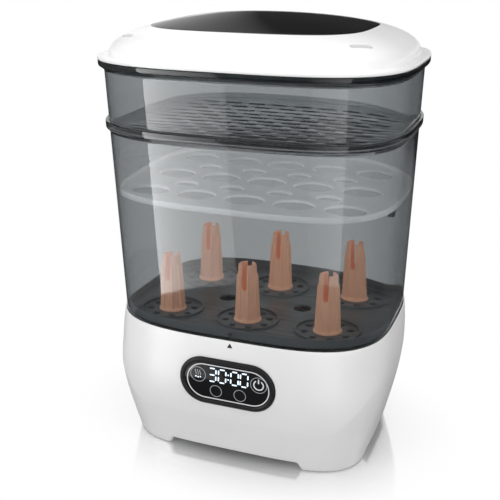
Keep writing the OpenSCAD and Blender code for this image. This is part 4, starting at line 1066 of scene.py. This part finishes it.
low = steps(0, insert_t0, 22, 1.7)
high = steps(insert_t0, crown_t, 22)
print("dome", round(2 * dome_hw, 1), "mm wide, crown at", round(lid_high.z, 1), "mm")

# %% Loft the lid shell
under = INSERT_T + RECESS
lid_rings = (
    [dome_ring(t, LID_T / 2, under + LID_T) for t in reversed(high[1:])]
    + [dome_ring(insert_t0, LID_T, under + LID_T)]
    + [dome_ring(t, LID_T, LID_T * (1.0 if t > 0.25 else 0.6)) for t in reversed(low[3:-1:3])]
    + [dome_ring(0, LID_T, LID_T), dome_ring(0, LID_T, 3.4)]
    + [rim_ring(SKIRT_IN + SKIRT_T, lid_z + 0.2), rim_ring(SKIRT_IN + SKIRT_T, lid_z - SKIRT_H + 0.3),
       rim_ring(SKIRT_IN + SKIRT_T - 0.3, lid_z - SKIRT_H), rim_ring(SKIRT_IN + 0.3, lid_z - SKIRT_H),
       rim_ring(SKIRT_IN, lid_z - SKIRT_H + 0.3), rim_ring(SKIRT_IN, lid_z - 0.2),
       rim_ring(SKIRT_IN - 0.2, lid_z), rim_ring(0.7, lid_z), rim_ring(0.2, lid_z + 0.15),
       rim_ring(0, lid_z + 0.6), rim_ring(0, lid_z + 1.6), rim_ring(0.15, lid_z + 2.1),
       rim_ring(0.6, lid_z + 2.5), rim_ring(1.3, lid_z + 2.62), rim_ring(3.5, lid_z + 2.5),
       rim_ring(6.2, lid_z + 2.42), rim_ring(7.6, lid_z + 2.5), rim_ring(8.5, lid_z + 2.9)]
    + [dome_ring(t) for t in low[:-1]]
    + [dome_ring(insert_t0, 0.0, 0.0), dome_ring(insert_t0, 0.12, 0.06),
       dome_ring(insert_t0, 0.15, under)]
    + [dome_ring(t, 0.1, under) for t in high[1:]])
lid = loft("lid_dome", lid_rings, closed=False)
VENT_L, VENT_W, VENT_TURN, VENT_IN_X, VENT_IN_Y = 20.0, 4.5, math.radians(39), 29.9, 34.8
vents = [(side, side * (dome_hw - VENT_IN_X), VENT_IN_Y - dome_hd) for side in (-1, 1)]


def vent_prism(name, l, w, side, x, y, z, depth):
    place = Matrix.Translation((x, y, z)) @ Matrix.Rotation(side * VENT_TURN, 4, "Z")
    return prism(name, stadium(l, w, arc=12), depth, place)


cut(lid, *[vent_prism("vent_cut", VENT_L, VENT_W, *vent, dome_foot + 20, 30) for vent in vents])
settle(lid, lid_abs, "lid", "lid_white_abs", "lid_shell")

# %% Insert, vents, liner and gasket
edge_ring = [dome_ring(insert_t0, 0.35, INSERT_T), dome_ring(insert_t0, 0.35, 0.7),
             dome_ring(insert_t0, 0.45, 0.3), dome_ring(insert_t0, 0.75, 0.06)]
insert = loft("lid_gloss_insert", [dome_ring(t, 0.35, INSERT_T) for t in reversed(high[1:])] + edge_ring
              + [dome_ring(t, 0.35, 0) for t in high[1:]], closed=False)
settle(insert, black_abs, "lid", "lid_black_gloss", "lid_insert")
vent_low, vent_high = box_mm("steam_vents")
for side, x, y in vents:
    place = (Matrix.Translation((x, y, (vent_low.z + vent_high.z) / 2))
             @ Matrix.Rotation(side * VENT_TURN, 4, "Z"))
    sleeve = plate("steam_vent_left" if side < 0 else "steam_vent_right",
                   [stadium(VENT_L - less, VENT_W - less, arc=12) for less in (0.2, 2.4)],
                   vent_high.z - vent_low.z, 0.2, place)
    settle(sleeve, black_abs, "lid", "lid_black_gloss", *(["steam_vents"] if side < 0 else []))

liner_low, liner_high = box_mm("lid_liner")
LINER_SLOT, LINER_PITCH, LINER_SLOT_Y = (14, 3), 22, 60
liner = plate("lid_steam_liner", [flat_outline(liner_high.x, liner_high.y)]
              + [stadium(*LINER_SLOT, column * LINER_PITCH, side * LINER_SLOT_Y, 8)
                 for column in range(-4, 5) for side in (-1, 1)],
              liner_high.z - liner_low.z, 0.4, level((liner_low.z + liner_high.z) / 2))
settle(liner, lid_abs, "lid", "lid_white_abs", "lid_liner")
gasket_low, gasket_high = box_mm("lid_gasket")
gasket_z, gasket_h = gasket_low.z, gasket_high.z - gasket_low.z
gasket = loft("lid_lip_seal", [rim_ring(SKIRT_IN + out, z) for out, z in rounded([
    (0.95, gasket_z, 0.1), (0.0, gasket_z, 0.2), (-0.36, gasket_z + gasket_h / 2, 0.8),
    (0.0, gasket_z + gasket_h, 0.2), (0.95, gasket_z + gasket_h, 0.1)], 3)])
settle(gasket, silicone, "lid", "grey_silicone", "lid_gasket")

# %% [markdown]
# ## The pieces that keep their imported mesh
# Screws, boards, the fan and the filter have the right shape already. Each group takes
# the material of what it is made from.

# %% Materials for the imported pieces
FINISHES = {
    white_abs: ["filter_cover"],
    pale_pp: ["bottom_cover", "filter_tray", "cord_gland", "gland_nut", "display_module"],
    rubber: ["rubber_feet"],
    plated: ["bottom_screws", "deck_screws", "board_screws", "fan_screws", "fan_shaft"],
    dark_pp: ["top_deck", "air_outlet_cap", "fan_housing", "fan_cover", "air_duct"],
    silicone: ["chamber_gasket", "plate_gasket"],
    steel: ["heating_plate"],
    cast: ["heating_element", "air_heater"],
    zinc: ["element_bracket", "fan_motor"],
    phenolic: ["thermostat"],
    lacquer: ["control_board", "power_board"],
    white_pp: ["fan_impeller"],
    paper: ["air_filter"],
}
for finish, names in FINISHES.items():
    for name in names:
        paint(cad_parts[name], finish)
print(sum(len(names) for names in FINISHES.values()), "packed nodes painted")

# %% [markdown]
# ## Floor, backdrop and light
# To light that bounces off it, the floor is a darker grey: painted shade under the housing.
# The floor is one pale polished sheet. To the eye it fades to plain white away from the object, so
# the picture has no horizon, and near the object it keeps the shadow and a faint mirror image.
# Smoked plastic is drawn by what it mirrors. On a studio table that is dark cloth all round with
# tall soft boxes standing in its gaps, and one ring of cloth that glows between set angles does
# the same. Only mirrored rays meet the rings, so they light nothing. The lamps that do light the
# object are hidden from mirrored rays in turn, and so is the floor: what stands near the foot
# would otherwise be drowned in white.

# %% Floor
floor_bm = bmesh.new()
bmesh.ops.create_grid(floor_bm, x_segments=8, y_segments=8, size=20)
floor_mesh = bpy.data.meshes.new("studio_floor")
floor_bm.to_mesh(floor_mesh)
floor_bm.free()
floor = bpy.data.objects.new("studio_floor", floor_mesh)
bpy.context.scene.collection.objects.link(floor)


def light_share(tree):
    """1 for rays of the eye, of mirrors and through clear plastic, else 0."""
    rays = add(tree, "ShaderNodeLightPath")
    seen = add(tree, "ShaderNodeMath", {0: rays.outputs["Is Camera Ray"],
               1: rays.outputs["Is Glossy Ray"]}, operation="MAXIMUM")
    return add(tree, "ShaderNodeMath", {0: seen.outputs["Value"],
               1: rays.outputs["Is Transmission Ray"]}, operation="MAXIMUM").outputs["Value"]


floor_paint, tree = new_tree("pale_polished_floor")
place = add(tree, "ShaderNodeTexCoord").outputs["Object"]
FOOT_X, FOOT_Y = 0.117, 0.084      # half-widths of the foot in metres, so that 1 is its edge
footprint = add(tree, "ShaderNodeMapping", {"Vector": place,
                "Location": (0, FOOT_FORWARD * MM / FOOT_Y, 0),
                "Scale": (1 / FOOT_X, 1 / FOOT_Y, 1)})
distance = add(tree, "ShaderNodeVectorMath", {0: footprint.outputs["Vector"]}, operation="LENGTH")
fade = add(tree, "ShaderNodeMapRange", {"Value": distance.outputs["Value"], "From Min": 0.85,
           "From Max": 1.9}, interpolation_type="SMOOTHSTEP")
sheet = add(tree, "ShaderNodeBsdfPrincipled", {"Base Color": srgb("#fafafa"), "Roughness": 0.08,
            "Metallic": 0.72})
white = add(tree, "ShaderNodeEmission", {"Color": (1, 1, 1, 1), "Strength": 1.0})
seen = add(tree, "ShaderNodeMixShader", {0: fade.outputs["Result"], 1: sheet.outputs["BSDF"],
           2: white.outputs["Emission"]})
# Bounced light meets this darker grey, not the pale sheet the eye sees: painted shade on the housing's
# lower, downward-facing part.
painted_shade_floor = add(tree, "ShaderNodeBsdfDiffuse", {"Color": srgb("#b0b0b0")})
blend = add(tree, "ShaderNodeMixShader", {0: light_share(tree), 1: painted_shade_floor.outputs["BSDF"],
            2: seen.outputs["Shader"]})
add(tree, "ShaderNodeOutputMaterial", {"Surface": blend.outputs["Shader"]})
paint(floor, floor_paint)

# %% World: white to the eye, softer as a lamp
world = bpy.data.worlds.new("studio")
bpy.context.scene.world = world
world.use_nodes = True
tree = world.node_tree
tree.nodes.clear()
SKY_AS_LAMP = 0.47
strength = add(tree, "ShaderNodeMapRange", {"Value": light_share(tree), "To Min": SKY_AS_LAMP,
               "To Max": 1.0})
sky = add(tree, "ShaderNodeBackground", {"Color": (1, 1, 1, 1), "Strength": strength.outputs["Result"]})
add(tree, "ShaderNodeOutputWorld", {"Surface": sky.outputs["Background"]})


# %% Soft boxes
def soft_box(name, place, aim, size, power):
    data = bpy.data.lights.new(name, "AREA")
    data.shape = "RECTANGLE"
    data.size, data.size_y = size
    data.energy = power
    lamp = bpy.data.objects.new(name, data)
    lamp.location = place
    lamp.rotation_euler = (Vector(aim) - Vector(place)).to_track_quat("-Z", "Y").to_euler()
    lamp.visible_glossy = False
    bpy.context.scene.collection.objects.link(lamp)
    return lamp


MIDDLE = (0, 0, 0.2)
soft_box("front_left_box", (-0.9, -1.3, 0.9), MIDDLE, (0.7, 1.1), 13.4)
soft_box("right_box", (1.5, -0.5, 0.8), MIDDLE, (0.6, 1.1), 10)
soft_box("top_box", (0.0, -0.2, 1.7), MIDDLE, (1.4, 1.0), 7)


# %% Rings of cloth with bright gaps, met by mirrored rays alone
def curtain(name, radius, low, high, windows, glow):
    """An upright ring of cloth with a faint glow of its own. windows are (first, last, glow at
    first, glow at last), with the angles in degrees round from the front, and the glow runs
    evenly from one to the other."""
    bm = bmesh.new()
    bmesh.ops.create_cone(bm, cap_ends=False, segments=128, radius1=radius, radius2=radius,
                          depth=high - low)
    bmesh.ops.translate(bm, verts=bm.verts, vec=(0, 0, (low + high) / 2))
    mesh = bpy.data.meshes.new(name)
    bm.to_mesh(mesh)
    bm.free()
    sheet = bpy.data.objects.new(name, mesh)
    bpy.context.scene.collection.objects.link(sheet)
    sheet.visible_camera = sheet.visible_diffuse = sheet.visible_shadow = False
    sheet.visible_transmission = sheet.visible_volume_scatter = False
    cloth, tree = new_tree(name)
    place = add(tree, "ShaderNodeTexCoord").outputs["Object"]
    axes = add(tree, "ShaderNodeSeparateXYZ", {"Vector": place}).outputs
    front = add(tree, "ShaderNodeMath", {0: axes["Y"], 1: -1.0}, operation="MULTIPLY")
    round_from_front = add(tree, "ShaderNodeMath", {0: axes["X"], 1: front.outputs["Value"]},
                           operation="ARCTAN2")
    for first, last, first_glow, last_glow in windows:
        ramp = add(tree, "ShaderNodeMapRange", {"Value": round_from_front.outputs["Value"],
                   "From Min": math.radians(first), "From Max": math.radians(last)}, clamp=False)
        inside = add(tree, "ShaderNodeMath", {0: ramp.outputs["Result"], 1: 0.5, 2: 0.5},
                     operation="COMPARE")
        bend = add(tree, "ShaderNodeMapRange", {"Value": ramp.outputs["Result"],
                   "To Min": first_glow, "To Max": last_glow})
        lit = add(tree, "ShaderNodeMath", {0: inside.outputs["Value"], 1: bend.outputs["Result"],
                  2: glow}, operation="MULTIPLY_ADD")
        glow = lit.outputs["Value"]
    shine = add(tree, "ShaderNodeEmission", {"Color": (1, 1, 1, 1), "Strength": glow})
    add(tree, "ShaderNodeOutputMaterial", {"Surface": shine.outputs["Emission"]})
    paint(sheet, cloth)
    return sheet


curtain("low_curtain", 0.9, -0.33, 0.36, [(-21, -47.5, 1.4, 7.0), (8, 41, 0.4, 2.0),
        (-47.6, -110, 0.5, 0.1), (-21, 8, 0.1, 0.1), (41, 75, 0.12, 0.0)], 0.03)
curtain("foot_curtain", 0.9, -0.9, -0.33, [], 0.05)
curtain("high_curtain", 0.4, 0.41, 1.0, [(-158, -122, 0.0, 1.1)], 0.04)
floor.visible_glossy = False
